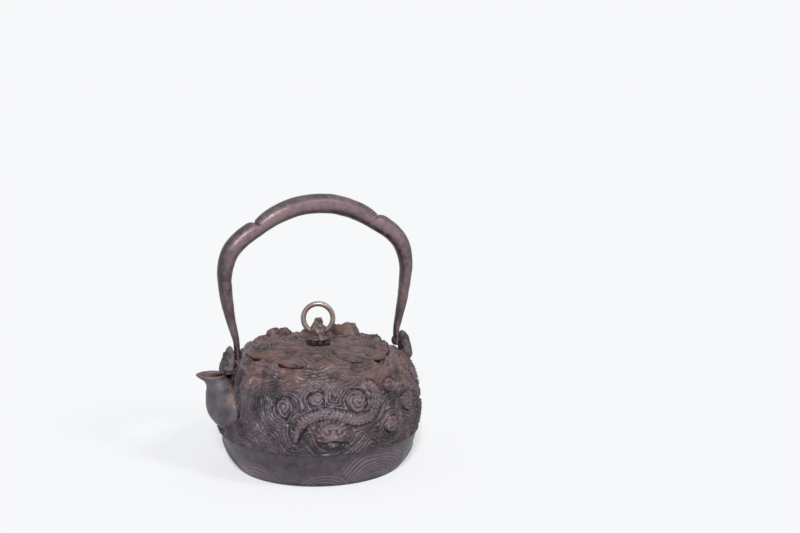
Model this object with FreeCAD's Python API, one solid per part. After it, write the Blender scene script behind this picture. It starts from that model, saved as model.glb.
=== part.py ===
"""A cast-iron water kettle: relief body, plain spout, swinging bail handle and a craggy lid with a ring.

Units are millimetres. +Z is up and the origin is the middle of the flat base.
The spout points along -X, and the bail handle stands in the XZ plane over it.
"""

import FreeCAD, Part
import math
import os
from FreeCAD import Vector

# Clearances
CAST_GAP = 0.1
REST_GAP = 0.3
PIN_GAP = 0.05

# Body shell, outside sizes. Radii other than the belly's are set back from it.
BELLY_RADIUS = 76.8
BELLY_HEIGHT = 42.0
BASE_SETBACK = 12.8
BASE_EDGE = 1.6
BAND_SETBACK = 6.2
BAND_HEIGHT_SHARE = 0.44
BELT_SETBACK = 2.0
BELT_STEP = 0.8
BELT_DROP = 15.0
SHOULDER_SETBACK = 6.8
SHOULDER_DROP = 11.0
BROW_SETBACK = 13.8
BROW_DROP = 3.6
MOUTH_HEIGHT = 85.0
MOUTH_LAND = 5.0
WALL = 3.2
FLOOR = 3.6

# Ornament on the wall and the lid. Degrees are counted round from the side that faces the viewer,
# and the second number is the distance up the wall from the belt.
ORNAMENT_TURN = 248.0
RIDGE_SHARE = 0.45
BOSS_HEIGHT = 1.5
BOSS_SINK = 2.0
BOSS_TAPER = 0.7
CLOUDS = [
    (25, 40, 7.4),
    (2, 43, 5.4),
    (-17, 35, 6.0),
    (47, 17, 5.4),
    (50, 46, 6.0),
    (62, 30, 7.0),
    (83, 43, 6.5),
    (88, 14, 6.5),
    (112, 33, 8.0),
    (131, 48, 6.4),
    (137, 16, 7.2),
    (161, 43, 7.4),
    (180, 14, 7.0),
    (198, 46, 7.0),
    (221, 25, 8.0),
    (242, 47, 6.4),
    (254, 14, 6.5),
]
FACE = [(11.0, 14.5, 9.0), (7.6, 18.2, 2.0), (14.4, 18.2, 2.0), (11.0, 13.2, 2.6), (11.0, 7.2, 2.4)]
# Lines of the dragon's coils and of the waves: degrees, distance up the wall and half width
DRAGONS = [
    [
        (-9, 12, 1.6),
        (-8, 19, 2.8),
        (-3, 26, 3.4),
        (6, 29.5, 3.7),
        (16, 28, 3.7),
        (26, 24.5, 3.6),
        (34, 26.5, 3.4),
        (38.5, 34, 3.2),
        (39, 43, 2.8),
        (35, 51, 2.0),
    ],
    [(70, 58, 1.6), (71, 48, 3.0), (75, 37, 3.6), (85, 28, 3.8), (97, 24, 3.6), (105, 15, 3.0), (107, 6, 1.8)],
    [
        (146, 56, 1.6),
        (146, 46, 3.0),
        (150, 35, 3.6),
        (160, 28, 3.7),
        (172, 27, 3.5),
        (184, 31, 3.2),
        (194, 28, 2.6),
        (201, 20, 1.6),
    ],
    [(232, 57, 1.6), (226, 47, 3.0), (234, 38, 3.6), (246, 32, 3.6), (256, 36, 3.2), (262, 48, 2.0)],
]
WAVES = [
    [(-43, 50, 1.4), (-42, 38, 2.4), (-38, 24, 3.0), (-29, 12, 3.0), (-16, 4.5, 1.6)],
    [(-29, 52, 1.4), (-28, 40, 2.4), (-24.5, 27, 3.0), (-17, 15, 3.0), (-6, 6, 1.6)],
    [(-94, 5, 1.4), (-80, 3.4, 2.2), (-62, 3.4, 2.2), (-48, 5, 2.2), (-38, 5, 1.4)],
    [(22, 3.4, 1.4), (31, 6, 2.4), (40, 4, 2.6), (50, 5, 2.4), (60, 10, 2.0), (68, 18, 1.4)],
    [(118, 8, 1.4), (126, 4.5, 2.4), (140, 5, 2.6), (152, 9, 1.6)],
    [(192, 5, 1.4), (206, 8, 2.6), (222, 8, 2.6), (238, 5, 1.4)],
]
# Lumps on the lid: degrees, distance from the middle, height, half length round and half length outwards
CRAGS = [
    (-142, 47, 5.6, 11, 7),
    (158, 46, 7.2, 12, 8),
    (-118, 49, 3.0, 8, 6),
    (118, 47, 3.2, 10, 6),
    (-170, 49, 3.0, 9, 5),
    (-86, 47, 2.0, 8, 6),
    (84, 48, 1.8, 9, 6),
    (-40, 30, 1.3, 13, 4.5),
    (20, 34, 1.3, 14, 4.5),
    (75, 30, 1.3, 12, 5),
    (125, 30, 1.4, 13, 5),
    (-95, 31, 1.3, 12, 5),
    (-145, 28, 1.4, 12, 5),
    (178, 32, 1.4, 12, 5),
]

# Spout, a jug-shaped casting set into the wall
SPOUT_STAND = 9.8
SPOUT_ROOT_DEPTH = 10.8
SPOUT_BELLY_HALF_WIDTH = 29.0
SPOUT_FOOT_STAND = -0.6
SPOUT_FOOT_HALF_WIDTH = 12.0
SPOUT_FOOT_DROP = 17.5
SPOUT_LOWER_STAND = 7.3
SPOUT_LOWER_HALF_WIDTH = 24.0
SPOUT_WAIST_HALF_WIDTH = 17.0
SPOUT_WAIST_RISE = 14.0
SPOUT_WAIST_LEAN = 4.0
SPOUT_RIM_RADIUS = 9.8
SPOUT_RIM_HALF_WIDTH = 10.0
SPOUT_RIM_RISE = 23.0
SPOUT_RIM_STAND = 15.8
SPOUT_RIM_DROP = 10.0
SPOUT_WALL = 2.6
PORT_RADIUS = 9.0
PORT_WALL = 2.0
PORT_PROUD = 1.0

# Lugs that carry the handle
LUG_SETBACK = 4.0
LUG_THICK = 6.6
LUG_FOOT_THICK = 9.0
LUG_WIDTH = 17.0
LUG_FOOT_WIDTH = 21.0
LUG_TIP_WIDTH = 6.0
LUG_TIP_THICK = 3.4
LUG_TIP_RISE = 6.4
LUG_FOOT_DROP = 11.0
LUG_PEG_RADIUS = 2.6
LUG_PEG_DROP = 7.5
LUG_PEG_SLOPE = 45.0
LUG_PEG_LENGTH = 8.5

# Handle pivot and rivets
PIVOT_RISE = 3.0
PIN_RADIUS = 2.0
RIVET_HEAD_RADIUS = 3.4
RIVET_HEAD_HEIGHT = 1.4
EYE_RADIUS = 4.2
EYE_THICK = 4.6

# Handle, measured up from its pivot and in from its widest line, with half thicknesses in its plane
HANDLE_RISE = 116.7
HANDLE_TOP_HALF = 7.3
HANDLE_SPREAD = 5.1
HANDLE_SIDE_HALF = 5.2
HANDLE_SIDE_RISE = 59.0
HANDLE_LEG_HALF = 2.3
HANDLE_LEG_HALF_WIDTH = 3.4
HANDLE_CORNER_INSET = 9.5
HANDLE_CORNER_DROP = 33.3
HANDLE_CORNER_HALF = 6.9
HANDLE_CUSP_INSET = 25.5
HANDLE_CUSP_DROP = 23.7
HANDLE_CUSP_HALF = 5.9
HANDLE_WIDTH_SHARE = 1.08

# Lid
LID_SIDE_ROOM = 4.7
LID_OVERHANG = 13.0
LID_THICK = 3.4
LID_RISE = 6.0
LID_EDGE_THICK = 2.6
LIP_GAP = 0.5
LIP_DEPTH = 8.0
LIP_WALL = 2.4
LUMP_SINK = 1.0

# Knob, its flower seat, its washer and the ring
RING_YAW = -20.0
RING_RADIUS = 11.1
RING_WIRE_RADIUS = 2.05
RING_GAP = 0.3
RING_BORE_RISE = 8.4
THROAT_LAND = 0.1
KNOB_RADIUS = 6.8
KNOB_SLIMNESS = 0.76
KNOB_HEIGHT = 19.0
KNOB_TIP_RADIUS = 2.6
KNOB_STEM_RADIUS = 2.4
SEAT_RADIUS = 10.8
SEAT_HEIGHT = 3.2
SEAT_PETALS = 8
SEAT_NOTCH_RADIUS = 1.9
WASHER_RADIUS = 6.0
WASHER_THICK = 1.4
PEEN_RADIUS = 3.8
PEEN_HEIGHT = 1.5

# Places that follow from the sizes above
X_AXIS = Vector(1, 0, 0)
Z_AXIS = Vector(0, 0, 1)
ORIGIN = Vector(0, 0, 0)
BASE_RADIUS = BELLY_RADIUS - BASE_SETBACK
BELT_HEIGHT = BELLY_HEIGHT - BELT_DROP
SHOULDER_RADIUS = BELLY_RADIUS - SHOULDER_SETBACK
SPOUT_BELLY_REACH = BELLY_RADIUS + SPOUT_STAND
SPOUT_RIM_REACH = BELLY_RADIUS + SPOUT_RIM_STAND
SPOUT_BELLY_HEIGHT = MOUTH_HEIGHT - SPOUT_RIM_DROP - SPOUT_RIM_RISE
PIVOT_HEIGHT = MOUTH_HEIGHT + PIVOT_RISE
LUG_FACE = SHOULDER_RADIUS - LUG_SETBACK
EYE_FACE = LUG_FACE - REST_GAP
EYE_INNER_FACE = EYE_FACE - EYE_THICK
LID_RADIUS = EYE_INNER_FACE - RIVET_HEAD_HEIGHT - LID_SIDE_ROOM
MOUTH_RADIUS = LID_RADIUS - LID_OVERHANG
HANDLE_TOP = PIVOT_HEIGHT + HANDLE_RISE
HANDLE_SIDE = LUG_FACE + HANDLE_SPREAD
HANDLE_SIDE_HEIGHT = PIVOT_HEIGHT + HANDLE_SIDE_RISE
HANDLE_CORNER_X = HANDLE_SIDE - HANDLE_CORNER_INSET
HANDLE_CORNER_HEIGHT = HANDLE_TOP - HANDLE_CORNER_DROP
HANDLE_CUSP_X = HANDLE_SIDE - HANDLE_CUSP_INSET
HANDLE_CUSP_HEIGHT = HANDLE_TOP - HANDLE_CUSP_DROP
LID_UNDER = MOUTH_HEIGHT + REST_GAP
LID_CROWN = MOUTH_HEIGHT + LID_RISE
SEAT_UNDER = LID_CROWN + CAST_GAP
KNOB_UNDER = SEAT_UNDER + SEAT_HEIGHT + CAST_GAP
RING_BORE_HEIGHT = LID_CROWN + RING_BORE_RISE


def spline(points):
    """A smooth curve through the points, as an edge."""
    curve = Part.BSplineCurve()
    curve.interpolate(points)
    return curve.toShape()


def shoulder_curve(points):
    """A smooth curve up the wall and over the shoulder, upright at its foot and level at the mouth."""
    curve = Part.BSplineCurve()
    curve.interpolate(Points=points, InitialTangent=Vector(0.1, 0, 1), FinalTangent=Vector(-1, 0, 0))
    return curve.toShape()


def line(start, end):
    return Part.LineSegment(start, end).toShape()


def arc(start, middle, end):
    return Part.Arc(start, middle, end).toShape()


def turned(edges):
    """The solid that a closed outline in the XZ plane sweeps round the Z axis."""
    face = Part.Face(Part.Wire(edges))
    return face.revolve(ORIGIN, Z_AXIS, 360)


def one_solid(shape):
    """The single solid of a boolean result, with needless seams merged."""
    clean = shape.removeSplitter()
    return clean.Solids[0] if len(clean.Solids) == 1 else clean


def shifted_outline(points, distance):
    """Outline points moved along their local normal, outwards for a positive distance."""
    moved = []
    last = len(points) - 1
    for index, point in enumerate(points):
        along = points[min(index + 1, last)] - points[max(index - 1, 0)]
        normal = Vector(along.z, 0, -along.x).normalize()
        moved.append(point + normal * distance)
    return moved


def rod(radius, start, end):
    """A plain round rod between two points."""
    along = end - start
    return Part.makeCylinder(radius, along.Length, start, along)


def band_points():
    """Outer outline of the plain band, from the base to the belt."""
    return [
        Vector(BASE_RADIUS, 0, BASE_EDGE),
        Vector(BELLY_RADIUS - BAND_SETBACK, 0, BELT_HEIGHT * BAND_HEIGHT_SHARE),
        Vector(BELLY_RADIUS - BELT_SETBACK, 0, BELT_HEIGHT),
    ]


def field_points():
    """Outer outline of the relief field, from the belt over the shoulder to the mouth land."""
    return [
        Vector(BELLY_RADIUS - BELT_SETBACK + BELT_STEP, 0, BELT_HEIGHT),
        Vector(BELLY_RADIUS, 0, BELLY_HEIGHT),
        Vector(SHOULDER_RADIUS, 0, MOUTH_HEIGHT - SHOULDER_DROP),
        Vector(BELLY_RADIUS - BROW_SETBACK, 0, MOUTH_HEIGHT - BROW_DROP),
        Vector(MOUTH_RADIUS + MOUTH_LAND, 0, MOUTH_HEIGHT),
    ]


def body_envelope(distance):
    """The body's outside as a solid block, grown by a distance, to cut pieces that seat on it."""
    band = shifted_outline(band_points(), distance)
    field = shifted_outline(field_points(), distance)
    foot = Vector(band[0].x, 0, 0)
    top = Vector(0, 0, field[-1].z)
    edges = [
        line(ORIGIN, foot),
        line(foot, band[0]),
        arc(*band),
        line(band[-1], field[0]),
        shoulder_curve(field),
        line(field[-1], top),
        line(top, ORIGIN),
    ]
    return turned(edges)


def make_body():
    """The cast shell: flat base, plain band, belt step, relief field, shoulder and open mouth."""
    band = band_points()
    field = field_points()
    inner_band = shifted_outline(band, -WALL)
    inner_field = shifted_outline(field, -WALL)
    base_edge = Vector(BASE_RADIUS - BASE_EDGE, 0, 0)
    lip_top = Vector(MOUTH_RADIUS, 0, MOUTH_HEIGHT)
    lip_under = Vector(MOUTH_RADIUS, 0, inner_field[-1].z)
    inner_foot = Vector(inner_band[1].x - WALL, 0, FLOOR)
    floor_middle = Vector(0, 0, FLOOR)
    edges = [
        line(ORIGIN, base_edge),
        line(base_edge, band[0]),
        arc(*band),
        line(band[-1], field[0]),
        shoulder_curve(field),
        line(field[-1], lip_top),
        line(lip_top, lip_under),
        line(lip_under, inner_field[-1]),
        spline(list(reversed(inner_field[1:]))),
        spline([inner_field[1], inner_band[1], inner_foot]),
        line(inner_foot, floor_middle),
        line(floor_middle, ORIGIN),
    ]
    shell = turned(edges)
    shell = shell.cut(rod(PORT_RADIUS + CAST_GAP, port_point(SPOUT_BELLY_REACH), port_point(MOUTH_RADIUS)))
    peg_hole = rod(LUG_PEG_RADIUS + CAST_GAP, peg_point(-LUG_PEG_LENGTH), peg_point(2 * LUG_PEG_LENGTH))
    shell = one_solid(shell.cut(peg_hole).cut(peg_hole.mirror(ORIGIN, X_AXIS)))
    for piece in ornament():
        shell = shell.fuse(piece)
    return shell.Solids[0]


def wall_place(turn, up):
    """A point of the relief field, at a turn and a distance up the wall, and the way out of the wall there."""
    edge = shoulder_curve(field_points())
    parameter = edge.getParameterByLength(up)
    point = edge.valueAt(parameter)
    along = edge.tangentAt(parameter)
    out = Vector(along.z, 0, -along.x)
    spin = FreeCAD.Rotation(Z_AXIS, ORNAMENT_TURN + turn)
    return spin.multVec(point), spin.multVec(out)


def boss(turn, up, radius, height):
    """A low tapered boss that stands square on the wall."""
    point, out = wall_place(turn, up)
    return Part.makeCone(radius, radius * BOSS_TAPER, BOSS_SINK + height, point - out * BOSS_SINK, out)


def ridge(stations):
    """A raised line along the wall, half sunk in it, thin at both ends."""
    places = [wall_place(turn, up) for turn, up, _ in stations]
    last = len(stations) - 1
    wires = []
    for index, (point, out) in enumerate(places):
        along = places[min(index + 1, last)][0] - places[max(index - 1, 0)][0]
        side = along.cross(out).normalize()
        upward = side.cross(along).normalize()
        half_width = stations[index][2]
        wires.append(oval(point, half_width * RIDGE_SHARE, half_width, upward, side))
    return Part.makeLoft(wires, True, False)


def ornament():
    """The main raised ornament: clouds, a beast's face, the dragon's coils and the waves."""
    pieces = [boss(turn, up, radius, BOSS_HEIGHT) for turn, up, radius in CLOUDS]
    pieces.append(boss(*FACE[0], BOSS_HEIGHT))
    pieces += [boss(*place, 2 * BOSS_HEIGHT) for place in FACE[1:]]
    pieces += [ridge(stations) for stations in DRAGONS + WAVES]
    return pieces


def port_point(reach):
    """A point on the axis of the hole that lets water into the spout."""
    return Vector(-reach, 0, SPOUT_BELLY_HEIGHT)


def peg_point(depth):
    """A point on the sloping axis of the far lug's peg, at a depth from the lug's middle."""
    slope = math.radians(LUG_PEG_SLOPE)
    start = Vector(LUG_FACE + LUG_THICK / 2, 0, PIVOT_HEIGHT - LUG_PEG_DROP)
    return start + Vector(-math.cos(slope), 0, -math.sin(slope)) * depth


def spout_sections(inset):
    """Middle, height and half sizes of the spout's oval sections from foot to rim, smaller by an inset."""
    root = BELLY_RADIUS - SPOUT_ROOT_DEPTH
    waist = root + SPOUT_WAIST_LEAN
    rim = SPOUT_RIM_REACH - SPOUT_RIM_RADIUS
    foot_height = SPOUT_BELLY_HEIGHT - SPOUT_FOOT_DROP + inset
    lower_height = SPOUT_BELLY_HEIGHT - SPOUT_FOOT_DROP * 0.56
    foot_depth = BELLY_RADIUS + SPOUT_FOOT_STAND - root
    lower_depth = BELLY_RADIUS + SPOUT_LOWER_STAND - root
    rim_height = SPOUT_BELLY_HEIGHT + SPOUT_RIM_RISE
    sections = [
        (root, foot_height, foot_depth, SPOUT_FOOT_HALF_WIDTH),
        (root, lower_height, lower_depth, SPOUT_LOWER_HALF_WIDTH),
        (root, SPOUT_BELLY_HEIGHT, SPOUT_BELLY_REACH - root, SPOUT_BELLY_HALF_WIDTH),
        (waist, SPOUT_BELLY_HEIGHT + SPOUT_WAIST_RISE, SPOUT_BELLY_REACH - waist, SPOUT_WAIST_HALF_WIDTH),
        (rim, rim_height, SPOUT_RIM_RADIUS, SPOUT_RIM_HALF_WIDTH),
    ]
    return [(reach, height, depth - inset, width - inset) for reach, height, depth, width in sections]


def spout_form(inset, over):
    """The spout's outside, or its hollow for an inset, carried past the rim by an overrun."""
    y_axis = Vector(0, 1, 0)
    wires = []
    for reach, height, half_depth, half_width in spout_sections(inset):
        wires.append(oval(Vector(-reach, 0, height), half_depth, half_width, X_AXIS, y_axis))
    form = Part.makeLoft(wires, True, False)
    if over:
        form = form.fuse(Part.Face(wires[-1]).extrude(Z_AXIS * over))
    return form


def make_spout():
    """A hollow jug spout with a saddle back, held by a tube that passes through the body wall."""
    outside = spout_form(0.0, 0.0).cut(body_envelope(CAST_GAP))
    hollow = spout_form(SPOUT_WALL, SPOUT_WALL).cut(body_envelope(CAST_GAP + SPOUT_WALL))
    inner_end = port_point(BELLY_RADIUS - WALL - PORT_PROUD)
    tube = rod(PORT_RADIUS, port_point(BELLY_RADIUS + SPOUT_WALL), inner_end)
    bore = rod(PORT_RADIUS - PORT_WALL, port_point(SPOUT_BELLY_REACH - SPOUT_WALL), inner_end)
    return one_solid(outside.fuse(tube).cut(hollow).cut(bore))


def lug_sections():
    """Half sizes and places of the lug's oval sections, from its foot to its tip."""
    waist_middle = LUG_FACE + LUG_THICK / 2
    return [
        (waist_middle + 1.2, PIVOT_HEIGHT - LUG_FOOT_DROP, LUG_FOOT_THICK / 2, LUG_FOOT_WIDTH / 2),
        (waist_middle, PIVOT_HEIGHT - 2.0, LUG_THICK / 2 + 0.4, LUG_WIDTH / 2),
        (waist_middle - 0.9, PIVOT_HEIGHT + LUG_TIP_RISE, LUG_TIP_THICK / 2, LUG_TIP_WIDTH / 2),
    ]


def oval(middle, half_first, half_second, first, second):
    """An elliptical wire about a point, with half sizes along two square directions."""
    if half_first >= half_second:
        ellipse = Part.Ellipse(middle + first * half_first, middle + second * half_second, middle)
    else:
        ellipse = Part.Ellipse(middle + second * half_second, middle - first * half_first, middle)
    return Part.Wire(ellipse.toShape())


def make_lug(side):
    """A tapered cast lug that stands on the shoulder, flat towards the handle and pegged into the wall."""
    y_axis = Vector(0, 1, 0)
    wires = []
    for reach, height, half_thick, half_width in lug_sections():
        wires.append(oval(Vector(reach, 0, height), half_thick, half_width, X_AXIS, y_axis))
    lug = Part.makeLoft(wires, True, False)
    corner = Vector(-LUG_FACE, -LUG_FACE, 0)
    inward = Part.makeBox(2 * LUG_FACE, 2 * LUG_FACE, 2 * PIVOT_HEIGHT, corner)
    lug = lug.cut(inward).cut(body_envelope(CAST_GAP))
    lug = lug.fuse(rod(LUG_PEG_RADIUS, peg_point(0), peg_point(LUG_PEG_LENGTH)))
    outer_face = pivot_point(LUG_FACE + LUG_THICK)
    lug = lug.cut(rod(RIVET_HEAD_RADIUS + REST_GAP, outer_face, pivot_point(LUG_FACE + 2 * LUG_THICK)))
    lug = one_solid(lug.cut(rod(PIN_RADIUS + PIN_GAP, pivot_point(EYE_FACE), outer_face)))
    return lug if side > 0 else lug.mirror(ORIGIN, X_AXIS)


def pivot_point(reach):
    """A point on the handle's pivot line."""
    return Vector(reach, 0, PIVOT_HEIGHT)


def domed_head(base, direction):
    """A low domed rivet head that stands on a point."""
    ball_radius = (RIVET_HEAD_RADIUS**2 + RIVET_HEAD_HEIGHT**2) / (2 * RIVET_HEAD_HEIGHT)
    ball = Part.makeSphere(ball_radius, base - direction * (ball_radius - RIVET_HEAD_HEIGHT))
    return ball.common(rod(2 * RIVET_HEAD_RADIUS, base, base + direction * 2 * RIVET_HEAD_HEIGHT))


def make_rivet(side):
    """A rivet through the handle's eye and the lug, with a domed head at each end."""
    inner = pivot_point(EYE_INNER_FACE - CAST_GAP)
    outer = pivot_point(LUG_FACE + LUG_THICK + CAST_GAP)
    rivet = rod(PIN_RADIUS, inner, outer)
    rivet = rivet.fuse(domed_head(inner, -X_AXIS)).fuse(domed_head(outer, X_AXIS))
    rivet = one_solid(rivet)
    return rivet if side > 0 else rivet.mirror(ORIGIN, X_AXIS)


def leg_stations():
    """Centre, half thickness in the handle's plane and half width across it, from the eye up to the cusp."""
    eye_middle = EYE_FACE - EYE_THICK / 2
    lower = PIVOT_HEIGHT + (HANDLE_SIDE_HEIGHT - PIVOT_HEIGHT) * 0.28
    upper = PIVOT_HEIGHT + (HANDLE_SIDE_HEIGHT - PIVOT_HEIGHT) * 0.60
    spread = HANDLE_SIDE - eye_middle
    growth = HANDLE_SIDE_HALF - HANDLE_LEG_HALF
    width_growth = HANDLE_SIDE_HALF * HANDLE_WIDTH_SHARE - HANDLE_LEG_HALF_WIDTH
    shoulder_x = HANDLE_SIDE - (HANDLE_SIDE - HANDLE_CORNER_X) * 0.28
    shoulder_z = HANDLE_SIDE_HEIGHT + (HANDLE_CORNER_HEIGHT - HANDLE_SIDE_HEIGHT) * 0.62
    shoulder_half = (HANDLE_SIDE_HALF + HANDLE_CORNER_HALF) / 2
    lower_half = HANDLE_LEG_HALF + growth * 0.18
    upper_half = HANDLE_LEG_HALF + growth * 0.62
    return [
        (eye_middle, PIVOT_HEIGHT + 1.0, HANDLE_LEG_HALF, HANDLE_LEG_HALF_WIDTH),
        (eye_middle + spread * 0.20, lower, lower_half, HANDLE_LEG_HALF_WIDTH + width_growth * 0.2),
        (eye_middle + spread * 0.68, upper, upper_half, HANDLE_LEG_HALF_WIDTH + width_growth * 0.6),
        (HANDLE_SIDE, HANDLE_SIDE_HEIGHT, HANDLE_SIDE_HALF, HANDLE_SIDE_HALF * HANDLE_WIDTH_SHARE),
        (shoulder_x, shoulder_z, shoulder_half, shoulder_half * HANDLE_WIDTH_SHARE),
        (HANDLE_CORNER_X, HANDLE_CORNER_HEIGHT, HANDLE_CORNER_HALF, HANDLE_CORNER_HALF * HANDLE_WIDTH_SHARE),
        cusp_station(1),
    ]


def cusp_station(side):
    """The pinched section where a shoulder of the handle meets its middle arch."""
    return (side * HANDLE_CUSP_X, HANDLE_CUSP_HEIGHT, HANDLE_CUSP_HALF, HANDLE_CUSP_HALF * HANDLE_WIDTH_SHARE)


def arch_stations():
    """The middle arch of the handle, from cusp to cusp."""
    half_width = HANDLE_TOP_HALF * HANDLE_WIDTH_SHARE
    top = HANDLE_TOP - HANDLE_TOP_HALF
    rise = top - HANDLE_CUSP_HEIGHT
    side_x = HANDLE_CUSP_X * 0.72
    side_z = HANDLE_CUSP_HEIGHT + rise * 0.52
    return [
        cusp_station(-1),
        (-side_x, side_z, HANDLE_TOP_HALF, half_width),
        (0.0, top, HANDLE_TOP_HALF, half_width),
        (side_x, side_z, HANDLE_TOP_HALF, half_width),
        cusp_station(1),
    ]


def tube_through(stations, first_direction, last_direction):
    """A tapered tube through the stations, each section square to the line there."""
    y_axis = Vector(0, 1, 0)
    points = [Vector(x, 0, z) for x, z, _, _ in stations]
    wires = []
    for index, (x, z, half, half_width) in enumerate(stations):
        if index == 0:
            along = first_direction
        elif index == len(stations) - 1:
            along = last_direction
        else:
            along = points[index + 1] - points[index - 1]
        outward = Vector(along.z, 0, -along.x).normalize()
        wires.append(oval(points[index], half, half_width, outward, y_axis))
    return Part.makeLoft(wires, True, False)


def make_handle():
    """The bail: two tapered legs with eyes, two shoulders, and a middle arch between two cusps."""
    corner = Vector(HANDLE_CORNER_X, 0, HANDLE_CORNER_HEIGHT)
    cusp = Vector(HANDLE_CUSP_X, 0, HANDLE_CUSP_HEIGHT)
    at_cusp = cusp - corner
    leg = tube_through(leg_stations(), Z_AXIS, at_cusp)
    eye = rod(EYE_RADIUS, pivot_point(EYE_INNER_FACE), pivot_point(EYE_FACE))
    leg = leg.fuse(eye).cut(rod(PIN_RADIUS + PIN_GAP, pivot_point(0), pivot_point(2 * LUG_FACE)))
    arch = tube_through(arch_stations(), Vector(at_cusp.x, 0, -at_cusp.z).negative(), at_cusp.negative())
    return one_solid(arch.fuse(leg).fuse(leg.mirror(ORIGIN, X_AXIS)))


def lid_edge_radius(angle):
    """The lid's ragged rim: lobes of several lengths round a circle."""
    long_lobes = 0.026 * math.cos(3 * angle + 2.2)
    short_lobes = 0.020 * math.cos(7 * angle - 2.0) + 0.013 * math.cos(11 * angle + 1.5)
    return LID_RADIUS * (1.0 + long_lobes + short_lobes)


def lid_outline(height, inset):
    """The ragged rim as one closed smooth curve at a height."""
    count = 44
    points = []
    for index in range(count):
        angle = 2 * math.pi * index / count
        radius = lid_edge_radius(angle) - inset
        points.append(Vector(radius * math.cos(angle), radius * math.sin(angle), height))
    curve = Part.BSplineCurve()
    curve.interpolate(points, True)
    return Part.Wire(curve.toShape())


def crown_points(drop):
    """The lid's low crown from the middle to past the rim, lowered by a drop."""
    edge = LID_UNDER + LID_EDGE_THICK
    reach = LID_RADIUS * 1.2
    rise = LID_CROWN - edge
    return [
        Vector(0, 0, LID_CROWN - drop),
        Vector(reach * 0.45, 0, edge + rise * 0.78 - drop),
        Vector(reach, 0, edge - rise * 0.35 - drop),
    ]


def crown_block(drop, low, reach_share):
    """Everything under the crown, down to a height, out to a share of the lid's radius."""
    points = crown_points(drop)
    dome = turned(
        [
            line(Vector(0, 0, low), Vector(points[-1].x, 0, low)),
            line(Vector(points[-1].x, 0, low), points[-1]),
            arc(*reversed(points)),
            line(points[0], Vector(0, 0, low)),
        ]
    )
    return dome.common(Part.makeCylinder(LID_RADIUS * reach_share, 2 * MOUTH_HEIGHT))


def lump(turn, distance, height, half_round, half_out):
    """A rounded rocky lump on the lid."""
    fall = LID_CROWN - LID_UNDER - LID_EDGE_THICK
    level = LID_CROWN - fall * (distance / LID_RADIUS) ** 2 - LUMP_SINK
    stretch = FreeCAD.Matrix()
    stretch.scale(half_out, half_round, height + LUMP_SINK)
    ball = Part.makeSphere(1.0).transformGeometry(stretch)
    ball.translate(Vector(distance, 0, level))
    ball.rotate(ORIGIN, Z_AXIS, ORNAMENT_TURN + turn)
    corner = Vector(-2 * LID_RADIUS, -2 * LID_RADIUS, 0)
    return ball.cut(Part.makeBox(4 * LID_RADIUS, 4 * LID_RADIUS, LID_UNDER, corner))


def make_lid():
    """A crowned plate with a ragged rim and lumps on it, a lip that drops into the mouth and a stem hole."""
    plate = Part.makeLoft([lid_outline(LID_UNDER, 1.2), lid_outline(LID_CROWN, 0.0)], True, False)
    plate = plate.common(crown_block(0.0, LID_UNDER, 1.15))
    plate = plate.fuse([lump(*place) for place in CRAGS])
    lip_radius = MOUTH_RADIUS - LIP_GAP
    lip = Part.makeCylinder(lip_radius, LIP_DEPTH + LID_EDGE_THICK, Vector(0, 0, LID_UNDER - LIP_DEPTH))
    hollow_radius = lip_radius - LIP_WALL
    hollow = crown_block(LID_THICK, LID_UNDER - 2 * LIP_DEPTH, 1.0)
    hollow = hollow.common(Part.makeCylinder(hollow_radius, 2 * MOUTH_HEIGHT))
    stem_hole = Part.makeCylinder(KNOB_STEM_RADIUS + CAST_GAP, 2 * MOUTH_HEIGHT)
    return one_solid(plate.fuse(lip).cut(hollow).cut(stem_hole))


def make_knob_seat():
    """A flower-shaped washer between the knob and the lid, with a notch between its petals."""
    edge_height = SEAT_HEIGHT * 0.4
    inner = KNOB_STEM_RADIUS + CAST_GAP
    low_inner = Vector(inner, 0, SEAT_UNDER)
    low_edge = Vector(SEAT_RADIUS, 0, SEAT_UNDER)
    high_edge = Vector(SEAT_RADIUS, 0, SEAT_UNDER + edge_height)
    round_middle = Vector(SEAT_RADIUS * 0.86, 0, SEAT_UNDER + SEAT_HEIGHT * 0.82)
    high_round = Vector(SEAT_RADIUS * 0.66, 0, SEAT_UNDER + SEAT_HEIGHT)
    high_inner = Vector(inner, 0, SEAT_UNDER + SEAT_HEIGHT)
    seat = turned(
        [
            line(low_inner, low_edge),
            line(low_edge, high_edge),
            arc(high_edge, round_middle, high_round),
            line(high_round, high_inner),
            line(high_inner, low_inner),
        ]
    )
    for index in range(SEAT_PETALS):
        angle = 2 * math.pi * (index + 0.5) / SEAT_PETALS
        place = Vector(SEAT_RADIUS * math.cos(angle), SEAT_RADIUS * math.sin(angle), SEAT_UNDER)
        seat = seat.cut(Part.makeCylinder(SEAT_NOTCH_RADIUS, 2 * SEAT_HEIGHT, place))
    return one_solid(seat)


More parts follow.
